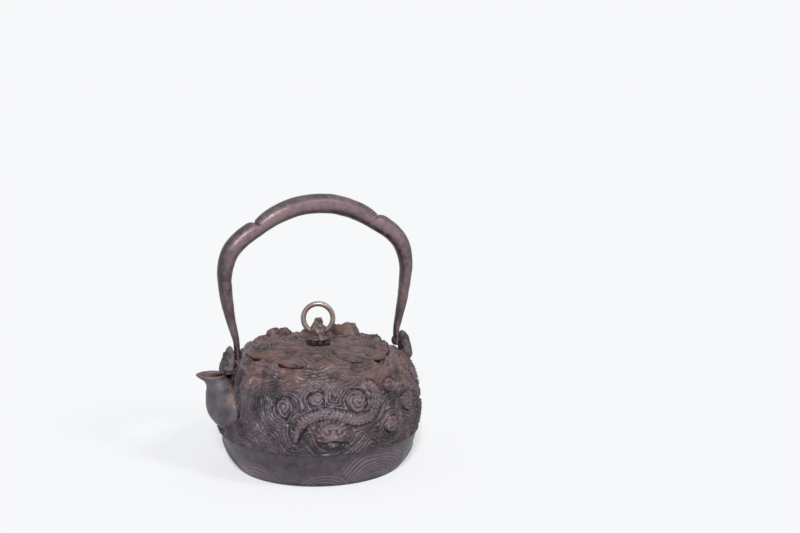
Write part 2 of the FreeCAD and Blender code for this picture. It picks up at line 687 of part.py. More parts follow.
def ring_throat():
    """The hole through the knob, round in the middle and flared at both ends so that the ring can swing."""
    reach = KNOB_RADIUS * KNOB_SLIMNESS + RING_GAP
    land = RING_WIRE_RADIUS + RING_GAP + THROAT_LAND
    inner = RING_RADIUS - RING_WIRE_RADIUS - RING_GAP
    land_end = math.sqrt(inner**2 - (RING_RADIUS - land) ** 2)
    stops = (land_end, (land_end + reach) / 2, reach)
    flare = [Vector(x, 0, RING_RADIUS - math.sqrt(inner**2 - x**2)) for x in stops]
    other = [Vector(-point.x, 0, point.z) for point in flare]
    edges = [
        line(other[0], flare[0]),
        arc(*flare),
        line(flare[-1], Vector(reach, 0, 0)),
        line(Vector(reach, 0, 0), Vector(-reach, 0, 0)),
        line(Vector(-reach, 0, 0), other[-1]),
        arc(*reversed(other)),
    ]
    throat = Part.Face(Part.Wire(edges)).revolve(ORIGIN, X_AXIS, 360)
    throat.translate(Vector(0, 0, RING_BORE_HEIGHT))
    return throat


def make_knob():
    """A bud with a hole for the ring, on a stem that is peened over a washer under the lid."""
    top = LID_CROWN + KNOB_HEIGHT
    span = top - KNOB_UNDER
    foot = Vector(KNOB_RADIUS * 0.92, 0, KNOB_UNDER)
    tip = Vector(KNOB_TIP_RADIUS, 0, top - KNOB_TIP_RADIUS * 0.5)
    tip_round = Vector(KNOB_TIP_RADIUS * 0.85, 0, top - KNOB_TIP_RADIUS * 0.15)
    crest = Vector(KNOB_TIP_RADIUS * 0.5, 0, top)
    bud = turned(
        [
            line(Vector(0, 0, KNOB_UNDER), foot),
            spline(
                [
                    foot,
                    Vector(KNOB_RADIUS, 0, KNOB_UNDER + span * 0.35),
                    Vector(KNOB_RADIUS * 0.78, 0, KNOB_UNDER + span * 0.62),
                    tip,
                ]
            ),
            arc(tip, tip_round, crest),
            line(crest, Vector(0, 0, top)),
            line(Vector(0, 0, top), Vector(0, 0, KNOB_UNDER)),
        ]
    )
    half_length = KNOB_RADIUS * KNOB_SLIMNESS
    corner = Vector(-half_length, -KNOB_HEIGHT, KNOB_UNDER)
    bud = bud.common(Part.makeBox(2 * half_length, 2 * KNOB_HEIGHT, KNOB_HEIGHT, corner)).cut(ring_throat())
    stem_end = washer_under() - CAST_GAP
    stem = Part.makeCylinder(KNOB_STEM_RADIUS, KNOB_UNDER - stem_end, Vector(0, 0, stem_end))
    ball_radius = (PEEN_RADIUS**2 + PEEN_HEIGHT**2) / (2 * PEEN_HEIGHT)
    ball = Part.makeSphere(ball_radius, Vector(0, 0, stem_end - PEEN_HEIGHT + ball_radius))
    low = Vector(0, 0, stem_end - 2 * PEEN_HEIGHT)
    peen = ball.common(Part.makeCylinder(2 * PEEN_RADIUS, 2 * PEEN_HEIGHT, low))
    knob = one_solid(bud.fuse(stem).fuse(peen))
    knob.rotate(ORIGIN, Z_AXIS, RING_YAW)
    return knob


def washer_under():
    """Height of the underside of the washer below the lid."""
    return LID_CROWN - LID_THICK - CAST_GAP - WASHER_THICK


def make_washer():
    """The plain washer under the lid that the knob's stem is peened against."""
    disc = Part.makeCylinder(WASHER_RADIUS, WASHER_THICK, Vector(0, 0, washer_under()))
    hole = Part.makeCylinder(KNOB_STEM_RADIUS + CAST_GAP, 2 * MOUTH_HEIGHT)
    crown = crown_block(LID_THICK + CAST_GAP, 0.0, 1.0)
    return one_solid(disc.common(crown).cut(hole))


def make_ring():
    """The loose ring that hangs in the knob, shown standing up."""
    ring = Part.makeTorus(RING_RADIUS, RING_WIRE_RADIUS, ORIGIN, Vector(0, 1, 0))
    ring.translate(Vector(0, 0, RING_BORE_HEIGHT + RING_RADIUS))
    ring.rotate(ORIGIN, Z_AXIS, RING_YAW)
    return ring


def main():
    os.makedirs("parts", exist_ok=True)
    pieces = {
        "kettle_body": make_body(),
        "spout": make_spout(),
        "lug_spout_side": make_lug(-1),
        "lug_far_side": make_lug(1),
        "handle_rivet_spout_side": make_rivet(-1),
        "handle_rivet_far_side": make_rivet(1),
        "bail_handle": make_handle(),
        "lid": make_lid(),
        "lid_knob": make_knob(),
        "knob_seat": make_knob_seat(),
        "knob_washer": make_washer(),
        "lid_ring": make_ring(),
    }
    for name, shape in pieces.items():
        shape.exportStep(f"parts/{name}.step")
        box = shape.BoundBox
        print(name, len(shape.Solids), shape.isValid(), round(shape.Volume, 1), box)


main()
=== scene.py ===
"""A cast-iron water kettle with raised waves, clouds and a dragon, its bail handle up and its lid on."""

import bpy
import math
import numpy as np
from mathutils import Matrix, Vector


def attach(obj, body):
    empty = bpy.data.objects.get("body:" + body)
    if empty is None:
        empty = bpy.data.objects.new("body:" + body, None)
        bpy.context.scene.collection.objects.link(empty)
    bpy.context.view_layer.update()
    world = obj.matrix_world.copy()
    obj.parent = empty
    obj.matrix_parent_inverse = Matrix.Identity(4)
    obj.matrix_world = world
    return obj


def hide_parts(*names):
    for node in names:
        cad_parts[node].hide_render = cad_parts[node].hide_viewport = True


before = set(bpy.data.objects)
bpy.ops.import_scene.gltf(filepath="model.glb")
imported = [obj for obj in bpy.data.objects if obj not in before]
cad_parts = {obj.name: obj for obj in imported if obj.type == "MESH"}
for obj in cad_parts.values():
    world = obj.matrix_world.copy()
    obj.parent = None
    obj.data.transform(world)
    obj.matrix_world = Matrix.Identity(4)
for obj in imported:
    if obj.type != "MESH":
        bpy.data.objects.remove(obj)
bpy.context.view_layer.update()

MM = 0.001
FULL_TURN = 2 * math.pi

# Camera: degrees round and down, millimetres of lens and sensor, metres from the middle of the base
HEADING = 22.0
PITCH = 10.28
LENS = 58.7
SENSOR = 36.0
CAMERA_RIGHT = 0.06168
CAMERA_BACK = 0.9596
CAMERA_UP = 0.32408

# The direction on the kettle that faces the camera, which places on body and lid are counted from
FRONT = math.radians(270.0 - HEADING)


# Small tools for shapes


def lattice(ix, iy, iz, seed):
    """Repeatable numbers from -1 to 1 on a whole-number lattice."""
    n = ix.astype(np.uint32) * np.uint32(374761393) + iy.astype(np.uint32) * np.uint32(668265263)
    n = n + iz.astype(np.uint32) * np.uint32(2246822519) + np.uint32(seed * 3266489917 % 4294967296)
    n = (n ^ (n >> np.uint32(13))) * np.uint32(1274126177)
    n = n ^ (n >> np.uint32(16))
    return (n & np.uint32(65535)).astype(float) / 32767.5 - 1.0


def noise(points, size, seed):
    """Smooth noise from -1 to 1 with lumps of a size in millimetres."""
    q = points / size + 1000.0
    cell = np.floor(q)
    f = q - cell
    cell = cell.astype(np.int64)
    w = f * f * f * (f * (f * 6 - 15) + 10)
    total = np.zeros(points.shape[:-1])
    for dx in (0, 1):
        for dy in (0, 1):
            for dz in (0, 1):
                share = (w[..., 0] if dx else 1 - w[..., 0]) * (w[..., 1] if dy else 1 - w[..., 1])
                share = share * (w[..., 2] if dz else 1 - w[..., 2])
                total += share * lattice(cell[..., 0] + dx, cell[..., 1] + dy, cell[..., 2] + dz, seed)
    return total


def rough(points, size, seed, octaves=3):
    """Noise of several sizes, each half as large as the one before."""
    total = np.zeros(points.shape[:-1])
    for k in range(octaves):
        total += noise(points, size / 2**k, seed + k) / 2**k
    return total


def smooth(a, b, x):
    """0 before a, 1 beyond b, and an even rise between them. a may be above b."""
    t = np.clip((x - a) / (b - a), 0.0, 1.0)
    return t * t * (3 - 2 * t)


def bump(x, width):
    """1 at 0, falling softly over a width."""
    return np.exp(-((x / width) ** 2))


def wave_lines(phase, sharp=0.8):
    """Round-topped strands, one to each whole number of the phase."""
    return (0.5 + 0.5 * np.cos(FULL_TURN * phase)) ** sharp


def circle(count):
    """Angles of points spread evenly round a full turn."""
    return np.arange(count) * FULL_TURN / count


def turn_from(angle, degrees=0.0):
    """Radians from a place given in degrees round from the front, at most half a turn to either side."""
    return (angle - FRONT - math.radians(degrees) + math.pi) % FULL_TURN - math.pi


def catmull(keys, samples):
    """A smooth line through rows of numbers, with so many steps between neighbours."""
    keys = np.asarray(keys, float)
    ends = np.vstack([2 * keys[0] - keys[1], keys, 2 * keys[-1] - keys[-2]])
    rows = []
    for i in range(len(keys) - 1):
        p0, p1, p2, p3 = ends[i], ends[i + 1], ends[i + 2], ends[i + 3]
        for t in np.arange(samples) / samples:
            a = 2 * p1 + (p2 - p0) * t
            b = (2 * p0 - 5 * p1 + 4 * p2 - p3) * t * t
            rows.append(0.5 * (a + b + (3 * p1 - p0 - 3 * p2 + p3) * t**3))
    rows.append(keys[-1])
    return np.array(rows)


def way_along(line):
    """How far each row of a line is from its start, measured in the first two columns."""
    step = np.linalg.norm(np.diff(line[:, :2], axis=0), axis=1)
    return np.concatenate([[0], np.cumsum(step)])


def even(line, count):
    """A line with its rows spread evenly along it."""
    along = way_along(line)
    want = np.linspace(0, along[-1], count)
    return np.column_stack([np.interp(want, along, line[:, k]) for k in range(line.shape[1])])


def spun(outline, around):
    """A ring grid of an outline turned round the Z axis."""
    angle = circle(around)
    radius = outline[:, 0][:, None]
    z = np.repeat(outline[:, 1][:, None], around, axis=1)
    return np.stack([radius * np.cos(angle), radius * np.sin(angle), z], axis=-1)


def grid_normals(grid):
    """Outward normals of a ring grid, whose rings run against the clock seen from the end they lead to."""
    along = np.gradient(grid, axis=0)
    across = np.roll(grid, -1, axis=1) - np.roll(grid, 1, axis=1)
    normal = np.cross(across, along)
    return normal / np.maximum(np.linalg.norm(normal, axis=-1, keepdims=True), 1e-9)


def new_object(name, data):
    """An object in the scene."""
    obj = bpy.data.objects.new(name, data)
    bpy.context.scene.collection.objects.link(obj)
    return obj


def grid_mesh(name, grid, tone, caps=False, loop=False):
    """A piece from a grid of points in millimetres, whose rows are closed rings.

    Caps close both ends over a pole, and a loop joins the last ring to the first. The tone's channels are the
    lightness, the share of rust and the share of warm tint.
    """
    rings, around = grid.shape[:2]
    index = np.arange(rings * around).reshape(rings, around)
    beside = np.roll(index, -1, axis=1)
    quads = np.stack([index, beside, np.roll(beside, -1, axis=0), np.roll(index, -1, axis=0)], axis=-1)
    if not loop:
        quads = quads[:-1]
    faces = quads.reshape(-1, 4).tolist()
    points = [grid.reshape(-1, 3)]
    tones = [tone.reshape(-1, 3)]
    if caps:
        fans = [(0, beside[0], index[0]), (-1, index[-1], beside[-1])]
        for pole, (end, first, second) in enumerate(fans, rings * around):
            points.append(grid[end].mean(axis=0)[None])
            tones.append(tone[end].mean(axis=0)[None])
            faces += np.stack([first, second, np.full(around, pole)], axis=-1).tolist()
    mesh = bpy.data.meshes.new(name)
    mesh.from_pydata((np.vstack(points) * MM).tolist(), [], faces)
    mesh.update()
    mesh.shade_smooth()
    layer = mesh.color_attributes.new("tone", "FLOAT_COLOR", "POINT")
    values = np.ones((len(mesh.vertices), 4))
    values[:, :3] = np.clip(np.vstack(tones), 0, 1)
    layer.data.foreach_set("color", values.ravel())
    return new_object(name, mesh)


def paint(piece, material):
    """Gives a piece one material in place of those it has."""
    piece.data.materials.clear()
    piece.data.materials.append(material)


def hand_in(piece, body, node, material):
    """Puts a finished piece on its body in place of its CAD node."""
    paint(piece, material)
    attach(piece, body)
    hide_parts(node)


# Materials

# Sockets of the mix node when it mixes colours
MIX_SHARE, MIX_FIRST, MIX_SECOND, MIX_RESULT = 0, 6, 7, 2
# Blotches a few millimetres wide, which vary the lightness and break up the rust
BLOTCHES = {"Scale": 70.0, "Detail": 6.0, "Roughness": 0.65}
BLOTCH_GAIN = 0.7
RUST_FROM, RUST_TO = 0.42, 0.68
WARM_TINT = (1.2, 1.04, 0.98, 1)
GRAIN_DETAIL = 3.0
GRAIN_FROM, GRAIN_TO = 0.3, 0.7
GRAIN_DEPTH = 0.0003


def set_inputs(tree, node, inputs):
    """Sets a node's inputs, each from a value or from the socket that feeds it."""
    for key, value in inputs.items():
        if isinstance(value, bpy.types.NodeSocket):
            tree.links.new(value, node.inputs[key])
        else:
            node.inputs[key].default_value = value


def add_node(tree, kind, inputs):
    """A new shader node's outputs."""
    node = tree.nodes.new("ShaderNode" + kind)
    set_inputs(tree, node, inputs)
    return node.outputs


def add_math(tree, operation, *values, clamp=False):
    """The result of one operation on values and sockets."""
    node = tree.nodes.new("ShaderNodeMath")
    node.operation = operation
    node.use_clamp = clamp
    set_inputs(tree, node, dict(enumerate(values)))
    return node.outputs[0]


def add_mix(tree, share, first, second, blend="MIX"):
    """Two colours mixed by a share from 0 to 1."""
    node = tree.nodes.new("ShaderNodeMix")
    node.data_type = "RGBA"
    node.blend_type = blend
    set_inputs(tree, node, {MIX_SHARE: share, MIX_FIRST: first, MIX_SECOND: second})
    return node.outputs[MIX_RESULT]


def iron(
    name,
    dark,
    pale,
    rust,
    roughness,
    grain=900.0,
    grain_strength=0.25,
    metal=0.0,
    specular=0.3,
    gloss_tint=(1.0, 1.0, 1.0),
):
    """Lacquered metal: dark to pale by the tone's lightness, which on some pieces holds painted shade in the
    hollows and crests paler from wear and painted highlight; rusty and warm where the tone says so.
    """
    material = bpy.data.materials.new(name)
    material.use_nodes = True
    tree = material.node_tree
    place = add_node(tree, "TexCoord", {})["Object"]
    reader = tree.nodes.new("ShaderNodeAttribute")
    reader.attribute_name = "tone"
    tone = add_node(tree, "SeparateColor", {"Color": reader.outputs["Color"]})
    blotch = add_node(tree, "TexNoise", {"Vector": place, **BLOTCHES})["Fac"]
    fine = add_node(tree, "TexNoise", {"Vector": place, "Scale": grain, "Detail": GRAIN_DETAIL})["Fac"]
    shift = add_math(tree, "MULTIPLY_ADD", blotch, BLOTCH_GAIN, -BLOTCH_GAIN / 2)
    light = add_math(tree, "ADD", shift, tone["Red"], clamp=True)
    colour = add_mix(tree, light, (*dark, 1), (*pale, 1))
    colour = add_mix(tree, tone["Blue"], colour, WARM_TINT, "MULTIPLY")
    patch = add_node(tree, "MapRange", {"Value": blotch, "From Min": RUST_FROM, "From Max": RUST_TO})
    rusty = add_math(tree, "MULTIPLY", patch["Result"], tone["Green"], clamp=True)
    colour = add_mix(tree, rusty, colour, (*rust, 1))
    gloss = {"From Min": GRAIN_FROM, "From Max": GRAIN_TO, "To Min": roughness[0], "To Max": roughness[1]}
    gloss = add_node(tree, "MapRange", {"Value": fine, **gloss})["Result"]
    normal = add_node(tree, "Bump", {"Height": fine, "Strength": grain_strength, "Distance": GRAIN_DEPTH})
    surface = {"Base Color": colour, "Roughness": gloss, "Normal": normal["Normal"], "Metallic": metal}
    surface.update({"Specular IOR Level": specular, "Specular Tint": (*gloss_tint, 1)})
    set_inputs(tree, tree.nodes["Principled BSDF"], surface)
    return material


BODY_IRON = iron(
    "body_iron",
    dark=(0.014, 0.0105, 0.0145),
    pale=(0.17, 0.131, 0.159),
    rust=(0.17, 0.093, 0.076),
    roughness=(0.3, 0.48),
    grain_strength=0.45,
    specular=0.42,
)
SPOUT_IRON = iron(
    "spout_iron",
    dark=(0.042, 0.036, 0.047),
    pale=(0.17, 0.147, 0.175),
    rust=(0.235, 0.155, 0.13),
    roughness=(0.4, 0.55),
)
LUG_IRON = iron(
    "lug_iron",
    dark=(0.028, 0.0235, 0.0255),
    pale=(0.165, 0.135, 0.14),
    rust=(0.16, 0.09, 0.07),
    roughness=(0.46, 0.66),
)
RIVET_IRON = iron(
    "rivet_iron",
    dark=(0.06, 0.05, 0.05),
    pale=(0.12, 0.1, 0.1),
    rust=(0.12, 0.1, 0.1),
    roughness=(0.4, 0.55),
)
HANDLE_IRON = iron(
    "handle_iron",
    dark=(0.03, 0.0205, 0.0245),
    pale=(0.22, 0.15, 0.163),
    rust=(0.2, 0.11, 0.098),
    roughness=(0.3, 0.42),
    grain=420.0,
    grain_strength=0.7,
    specular=0.6,
    gloss_tint=(1.0, 0.84, 0.86),
)
LID_IRON = iron(
    "lid_iron",
    dark=(0.014, 0.0105, 0.0115),
    pale=(0.17, 0.122, 0.126),
    rust=(0.205, 0.097, 0.07),
    roughness=(0.36, 0.54),
    grain_strength=0.45,
    specular=0.32,
)
KNOB_IRON = iron(
    "knob_iron",
    dark=(0.03, 0.018, 0.016),
    pale=(0.24, 0.15, 0.13),
    rust=(0.23, 0.11, 0.08),
    roughness=(0.3, 0.46),
    grain_strength=0.3,
    specular=0.45,
)
SEAT_COPPER = iron(
    "seat_copper",
    dark=(0.014, 0.0095, 0.0085),
    pale=(0.085, 0.056, 0.048),
    rust=(0.12, 0.07, 0.05),
    roughness=(0.55, 0.75),
    grain_strength=0.4,
    specular=0.2,
)
RING_BRONZE = iron(
    "ring_bronze",
    dark=(0.22, 0.165, 0.15),
    pale=(0.4, 0.31, 0.285),
    rust=(0.36, 0.26, 0.22),
    roughness=(0.24, 0.4),
    grain=700.0,
    grain_strength=0.2,
    metal=0.6,
    specular=0.5,
)


# Body

# Outline in millimetres, (radius, height), from the middle of the base round to the middle of the inner floor
BASE_RADIUS = 64.0
MOUTH_RADIUS = 42.0
MOUTH_HEIGHT = 85.0
INNER_FLOOR = 3.6
FOOT = [(8.0, 0.0), (40.0, 0.0), (58.0, 0.0), (BASE_RADIUS - 1.6, 0.0), (BASE_RADIUS - 0.5, 0.4)]
BAND = [(BASE_RADIUS, 1.6), (70.6, 12.0), (74.8, 27.0)]
FIELD = [
    (75.6, 27.0),
    (76.8, 42.0),
    (75.6, 56.0),
    (73.2, 66.0),
    (70.0, 74.0),
    (66.9, 78.6),
    (63.0, 81.4),
    (56.0, 83.8),
    (47.0, 85.0),
]
LIP = [
    (44.5, MOUTH_HEIGHT),
    (MOUTH_RADIUS + 0.4, MOUTH_HEIGHT),
    (MOUTH_RADIUS, MOUTH_HEIGHT - 0.4),
    (MOUTH_RADIUS, 82.2),
    (47.0, 81.8),
]
INNER_WALL = [
    (56.0, 80.6),
    (61.4, 78.6),
    (64.6, 76.4),
    (67.0, 73.0),
    (70.2, 65.2),
    (72.5, 55.6),
    (73.6, 42.0),
    (72.4, 27.5),
    (67.6, 13.2),
    (62.5, 5.0),
    (58.0, INNER_FLOOR),
]
INNER_MIDDLE = [(40.0, INNER_FLOOR), (8.0, INNER_FLOOR)]
CELLS_ROUND = 680
BAND_RINGS = 38
FIELD_RINGS = 112
INNER_RINGS = 16

# Clouds and rosettes: degrees round from the front, millimetres up from the belt, radius, spiral arms
CLOUDS = [
    (25, 40, 7.4, 3),
    (2, 43, 5.4, 2),
    (-17, 35, 6.0, 1),
    (47, 17, 5.4, 2),
    (50, 46, 6.0, 2),
    (62, 30, 7.0, 3),
    (83, 43, 6.5, 2),
    (88, 14, 6.5, 2),
    (112, 33, 8.0, 3),
    (131, 48, 6.4, 2),
    (137, 16, 7.2, 2),
    (161, 43, 7.4, 3),
    (180, 14, 7.0, 2),
    (198, 46, 7.0, 2),
    (221, 25, 8.0, 3),
    (242, 47, 6.4, 2),
    (254, 14, 6.5, 2),
]
CLOUD_PITCH = 2.9

# The dragon's face: its place, as for the clouds, and how much larger it is than it is drawn
HEAD_PLACE = (11.0, 14.5)
HEAD_SCALE = 1.12

# Lines that the dragon's body follows: degrees round, millimetres up, half width
COILS = [
    [
        (-9, 12, 1.6),
        (-8, 19, 2.8),
        (-3, 26, 3.4),
        (6, 29.5, 3.7),
        (16, 28, 3.7),
        (26, 24.5, 3.6),
        (34, 26.5, 3.4),
        (38.5, 34, 3.2),
        (39, 43, 2.8),
        (35, 51, 2.0),
    ],
    [
        (70, 58, 1.6),
        (71, 48, 3.0),
        (75, 37, 3.6),
        (85, 28, 3.8),
        (97, 24, 3.6),
        (105, 15, 3.0),
        (107, 6, 1.8),
    ],
    [
        (146, 56, 1.6),
        (146, 46, 3.0),
        (150, 35, 3.6),
        (160, 28, 3.7),
        (172, 27, 3.5),
        (184, 31, 3.2),
        (194, 28, 2.6),
        (201, 20, 1.6),
    ],
    [(232, 57, 1.6), (226, 47, 3.0), (234, 38, 3.6), (246, 32, 3.6), (256, 36, 3.2), (262, 48, 2.0)],
]
SCALE_LENGTH = 3.0
SCALE_WIDTH = 2.1
TOOTH_PITCH = 2.3
TOOTH_HEIGHT = 1.9

# Lines along which the wall swells under the strands, in the same way
WAVES = [
    [(-43, 50, 1.4), (-42, 38, 2.4), (-38, 24, 3.0), (-29, 12, 3.0), (-16, 4.5, 1.6)],
    [(-29, 52, 1.4), (-28, 40, 2.4), (-24.5, 27, 3.0), (-17, 15, 3.0), (-6, 6, 1.6)],
    [(-94, 5, 1.4), (-80, 3.4, 2.2), (-62, 3.4, 2.2), (-48, 5, 2.2), (-38, 5, 1.4)],
    [(22, 3.4, 1.4), (31, 6, 2.4), (40, 4, 2.6), (50, 5, 2.4), (60, 10, 2.0), (68, 18, 1.4)],
    [(118, 8, 1.4), (126, 4.5, 2.4), (140, 5, 2.6), (152, 9, 1.6)],
    [(192, 5, 1.4), (206, 8, 2.6), (222, 8, 2.6), (238, 5, 1.4)],
]

# The wall's usual radius, which turns degrees along a line into millimetres, and how far a line is felt
LINE_RADIUS = 74.0
LINE_REACH = 22

# Strands between the motifs: their pitch, and how softly they round the corners between two motifs
STRAND_PITCH = 2.15
CORNER = 1.5

# Where the carving turns into rocky crust, in millimetres up the wall from the belt
BROW = (51.0, 60.0)

# Gaps in the ledge round the lid, for its lobes and the lugs: degrees round from the front, half length
LEDGE_GAPS = [(-18, 10), (61, 10), (-70, 20), (112, 20)]

# The roof that keeps the carving on the shoulder clear of the handle's legs when they swing down: its height
# at the lugs, its fall per millimetre sideways, and where it rises again, inside the legs and further sideways
LEG_ROOF = 83.5
LEG_ROOF_FALL = 0.18
LEG_INSIDE = 60.3
LEG_ROOF_END = 26.0

# Groups of arcs on the plain band: degrees round, height of the middle, outer and inner reach
ARCS = [
    (40, -8, 39, 14),
    (8, -9, 24, 11),
    (-38, -10, 27, 12),
    (-80, -6, 33, 12),
    (84, -9, 26, 11),
    (122, -7, 35, 13),
    (160, -10, 25, 10),
    (198, -6, 34, 13),
    (236, -9, 27, 11),
]
ARC_PITCH = 2.9
ARC_FADE = 3


def field_distance(angle, up, radius, place):
    """Millimetres round and up from a place on the body."""
    return radius * turn_from(angle, place[0]), up - place[1]


def rosette(across, up, radius, arms):
    """A cloud: strands curled round a boss in a scalloped rim. Height, cover and distance from its edge."""
    reach = np.hypot(across, up)
    turn = np.arctan2(up, across)
    scallop = radius * (1 + 0.12 * np.abs(np.cos(2.5 * turn + radius)) - 0.06)
    curl = wave_lines(reach / CLOUD_PITCH - arms * turn / FULL_TURN)
    height = 0.45 * np.clip(1 - (reach / radius) ** 2, 0, 1) + 1.6 * curl * smooth(0.7, 2.2, reach)
    height += 1.3 * bump(reach, 1.2) + 0.5 * bump(reach - scallop + 0.8, 0.7)
    return height, smooth(scallop + 0.3, scallop - 0.5, reach), reach - scallop


def along_line(angle, up, line):
    """Distance from a line on the wall, which side of it, how far along it, and its half width there."""
    keys = [(math.radians(turn) * LINE_RADIUS, rise, half) for turn, rise, half in line]
    keys = even(catmull(keys, 14), 170)
    track = keys[:, :2]
    middle = math.radians(line[len(line) // 2][0])
    turn = middle + (angle.ravel() - FRONT - middle + math.pi) % FULL_TURN - math.pi
    place = np.column_stack([turn * LINE_RADIUS, up.ravel()])
    away = np.full(len(place), 99.0)
    side = np.zeros(len(place))
    along = np.zeros(len(place))
    width = np.full(len(place), 5.0)
    near = (place > track.min(axis=0) - LINE_REACH) & (place < track.max(axis=0) + LINE_REACH)
    near = np.all(near, axis=1)
    heading = np.gradient(track, axis=0)
    heading = heading / np.linalg.norm(heading, axis=1, keepdims=True)
    some = place[near]
    gap = ((some[:, None] - track[None]) ** 2).sum(axis=2)
    best = gap.argmin(axis=1)
    offset = some - track[best]
    away[near] = np.sqrt(gap[np.arange(len(some)), best])
    side[near] = heading[best, 0] * offset[:, 1] - heading[best, 1] * offset[:, 0]
    along[near] = way_along(keys)[best] + (heading[best] * offset).sum(axis=1)
    width[near] = keys[best, 2]
    return [part.reshape(angle.shape) for part in (away, side, along, width)]


def dragon(angle, up, line):
    """A scaled body along a line, with a toothed back. Height, cover and distance from its edge."""
    away, side, along, width = along_line(angle, up, line)
    share = away / width
    hump = np.sqrt(np.clip(1 - share**2, 0, 1))
    row = np.round(side / SCALE_WIDTH)
    scale_along = (along / SCALE_LENGTH + 0.5 * (row % 2)) % 1.0
    scale_side = side / SCALE_WIDTH - row
    scale = np.clip(1 - (scale_along**2 + (1.6 * scale_side) ** 2), 0, 1) ** 0.6
    belly = smooth(-0.35, -0.55, side / width)
    plates = wave_lines(along / SCALE_LENGTH, 0.6)
    height = 0.9 * hump + (scale * (1 - belly) + plates * belly) * smooth(1.0, 0.8, share)
    tooth_up = side - width
    tooth = 1 - np.abs((along / TOOTH_PITCH) % 1.0 - 0.5) * 2 - np.clip(tooth_up, 0, 9) / TOOTH_HEIGHT
    tooth = np.clip(tooth, 0, 1) * smooth(-1.2, 0.0, tooth_up) * (side > 0)
    cover = np.maximum(smooth(1.03, 0.95, share), smooth(0.02, 0.15, tooth))
    height = np.maximum(height * (share < 1.03), 1.3 * smooth(0.0, 0.4, tooth))
    return height, cover, away - width


def dragon_head(across, up):
    """A broad beast's face: brows, round eyes, wide nose, turned-down mouth, chin, whiskers and mane."""
    across = across / HEAD_SCALE
    up = up / HEAD_SCALE
    mirror = np.abs(across)
    skull = np.hypot(across / 8.6, (up - 0.5) / 8.2)
    height = 1.5 * np.sqrt(np.clip(1 - skull**2, 0, 1)) * smooth(1.0, 0.8, skull)
    eye = np.hypot(mirror - 3.9, up - 2.8)
    height += 1.5 * bump(eye, 1.2) - bump(eye - 2.0, 0.55) + 0.6 * bump(eye - 3.0, 0.6)
    height += 1.2 * bump(up - 5.9 + 0.3 * mirror, 0.8) * smooth(7.4, 5.4, mirror)
    height += 1.7 * bump(np.hypot(mirror - 1.5, (up + 0.8) * 1.1), 1.3)
    mouth = up + 3.5 + 0.05 * across**2
    height -= 1.9 * bump(mouth, 0.7) * smooth(7.2, 6.0, mirror)
    height += 0.7 * bump(mouth - 1.4, 0.6) * smooth(6.5, 5.0, mirror)
    height += 1.3 * bump(np.hypot(across / 2.6, (up + 6.4) / 1.3), 1.0)
    whisker = up + 1.4 - 2.8 * np.sin((mirror - 4.0) * 0.42)
    height += 1.1 * bump(whisker, 0.6) * smooth(4.5, 6.0, mirror) * smooth(14.0, 11.0, mirror)
    mane = wave_lines(np.arctan2(up, across) * 3.2 + 0.12 * np.hypot(across, up))
    height += 0.9 * mane * smooth(0.85, 1.0, skull) * smooth(1.55, 1.25, skull) * (up > -4)
    return height, smooth(1.42, 1.2, skull), (skull - 1.2) * 8.0


def motifs(angle, up, radius, points, warp_round, warp_up):
    """Each motif in turn, later ones over earlier ones: its height, its cover, the distance from its edge."""
    curl_round, curl_up = (1.2 * rough(points, 8.0, seed, 2) for seed in (13, 19))
    for degrees, place_up, size, arms in CLOUDS:
        across, rise = field_distance(angle, up, radius, (degrees, place_up))
        yield rosette(across + 0.8 * warp_round + curl_round, rise + 0.8 * warp_up + curl_up, size, arms)
    for line in COILS:
        yield dragon(angle + 0.008 * warp_round, up + 0.4 * warp_up, line)
    yield dragon_head(*field_distance(angle, up, radius, HEAD_PLACE))


def body_relief(angle, up, radius, points):
    """Height of the ornament above the plain wall, from the belt to the mouth."""
    warp_round, warp_up = (2.6 * rough(points, 26.0, seed, 2) for seed in (3, 9))
    pull = np.zeros(angle.shape)
    nearest = np.full(angle.shape, 99.0)
    tops = np.zeros(angle.shape)
    cover = np.zeros(angle.shape)
    for motif, over, edge in motifs(angle, up, radius, points, warp_round, warp_up):
        tops = tops * (1 - over) + motif * over
        cover = np.maximum(cover, over)
        pull = pull + np.exp(-np.clip(edge, -20, 60) / CORNER)
        nearest = np.minimum(nearest, edge)
    swell = np.zeros(angle.shape)
    for line in WAVES:
        away, _, _, width = along_line(angle + 0.01 * warp_round, up + 0.5 * warp_up, line)
        swell = np.maximum(swell, 0.5 * bump(away, 1.3 * width))
    # Strands run round the motifs at even distances, with knots and thin places
    far = -CORNER * np.log(pull)
    phase = (far + 1.2 * warp_round + 0.7 * warp_up) / STRAND_PITCH
    phase = phase + (0.14 + 0.16 * smooth(-0.5, -0.2, turn_from(angle))) * rough(points, 7.0, 15, 2)
    phase = phase + 0.13 * np.sin(FULL_TURN * phase)
    order = np.round(phase)
    chance = lattice(order + 50, np.round(rough(points, 30.0, 17, 1) * 1.5) + 50, 0 * order, 5)
    thick = 0.8 + 0.36 * chance + 0.5 * rough(points, 9.0, 21, 2)
    strands = 1.8 * wave_lines(phase, 0.9) * np.clip(thick, 0.2, 1.35)
    strands += 0.3 * wave_lines(2 * phase + 0.35 + 0.4 * warp_up, 1.0)
    height = (strands + swell) * (1 - cover) + tops * cover
    height -= 1.4 * bump(np.minimum(nearest - 0.6, 2.0), 0.8) * (1 - cover)
    height = height - 0.75 + 0.5 * rough(points, 16.0, 25, 2)
    crust = 1.5 * rough(points, 9.0, 40, 4)
    crust = crust + 1.3 * wave_lines(up / 3.0 + 1.1 * rough(points, 20.0, 44, 2)) - 0.5
    brow = smooth(*BROW, up)
    height = height * (1 - brow) + brow * crust
    height += 0.22 * rough(points, 2.4, 31, 3)
    return height * smooth(0.0, 1.6, up) * smooth(73.5, 70.0, up)


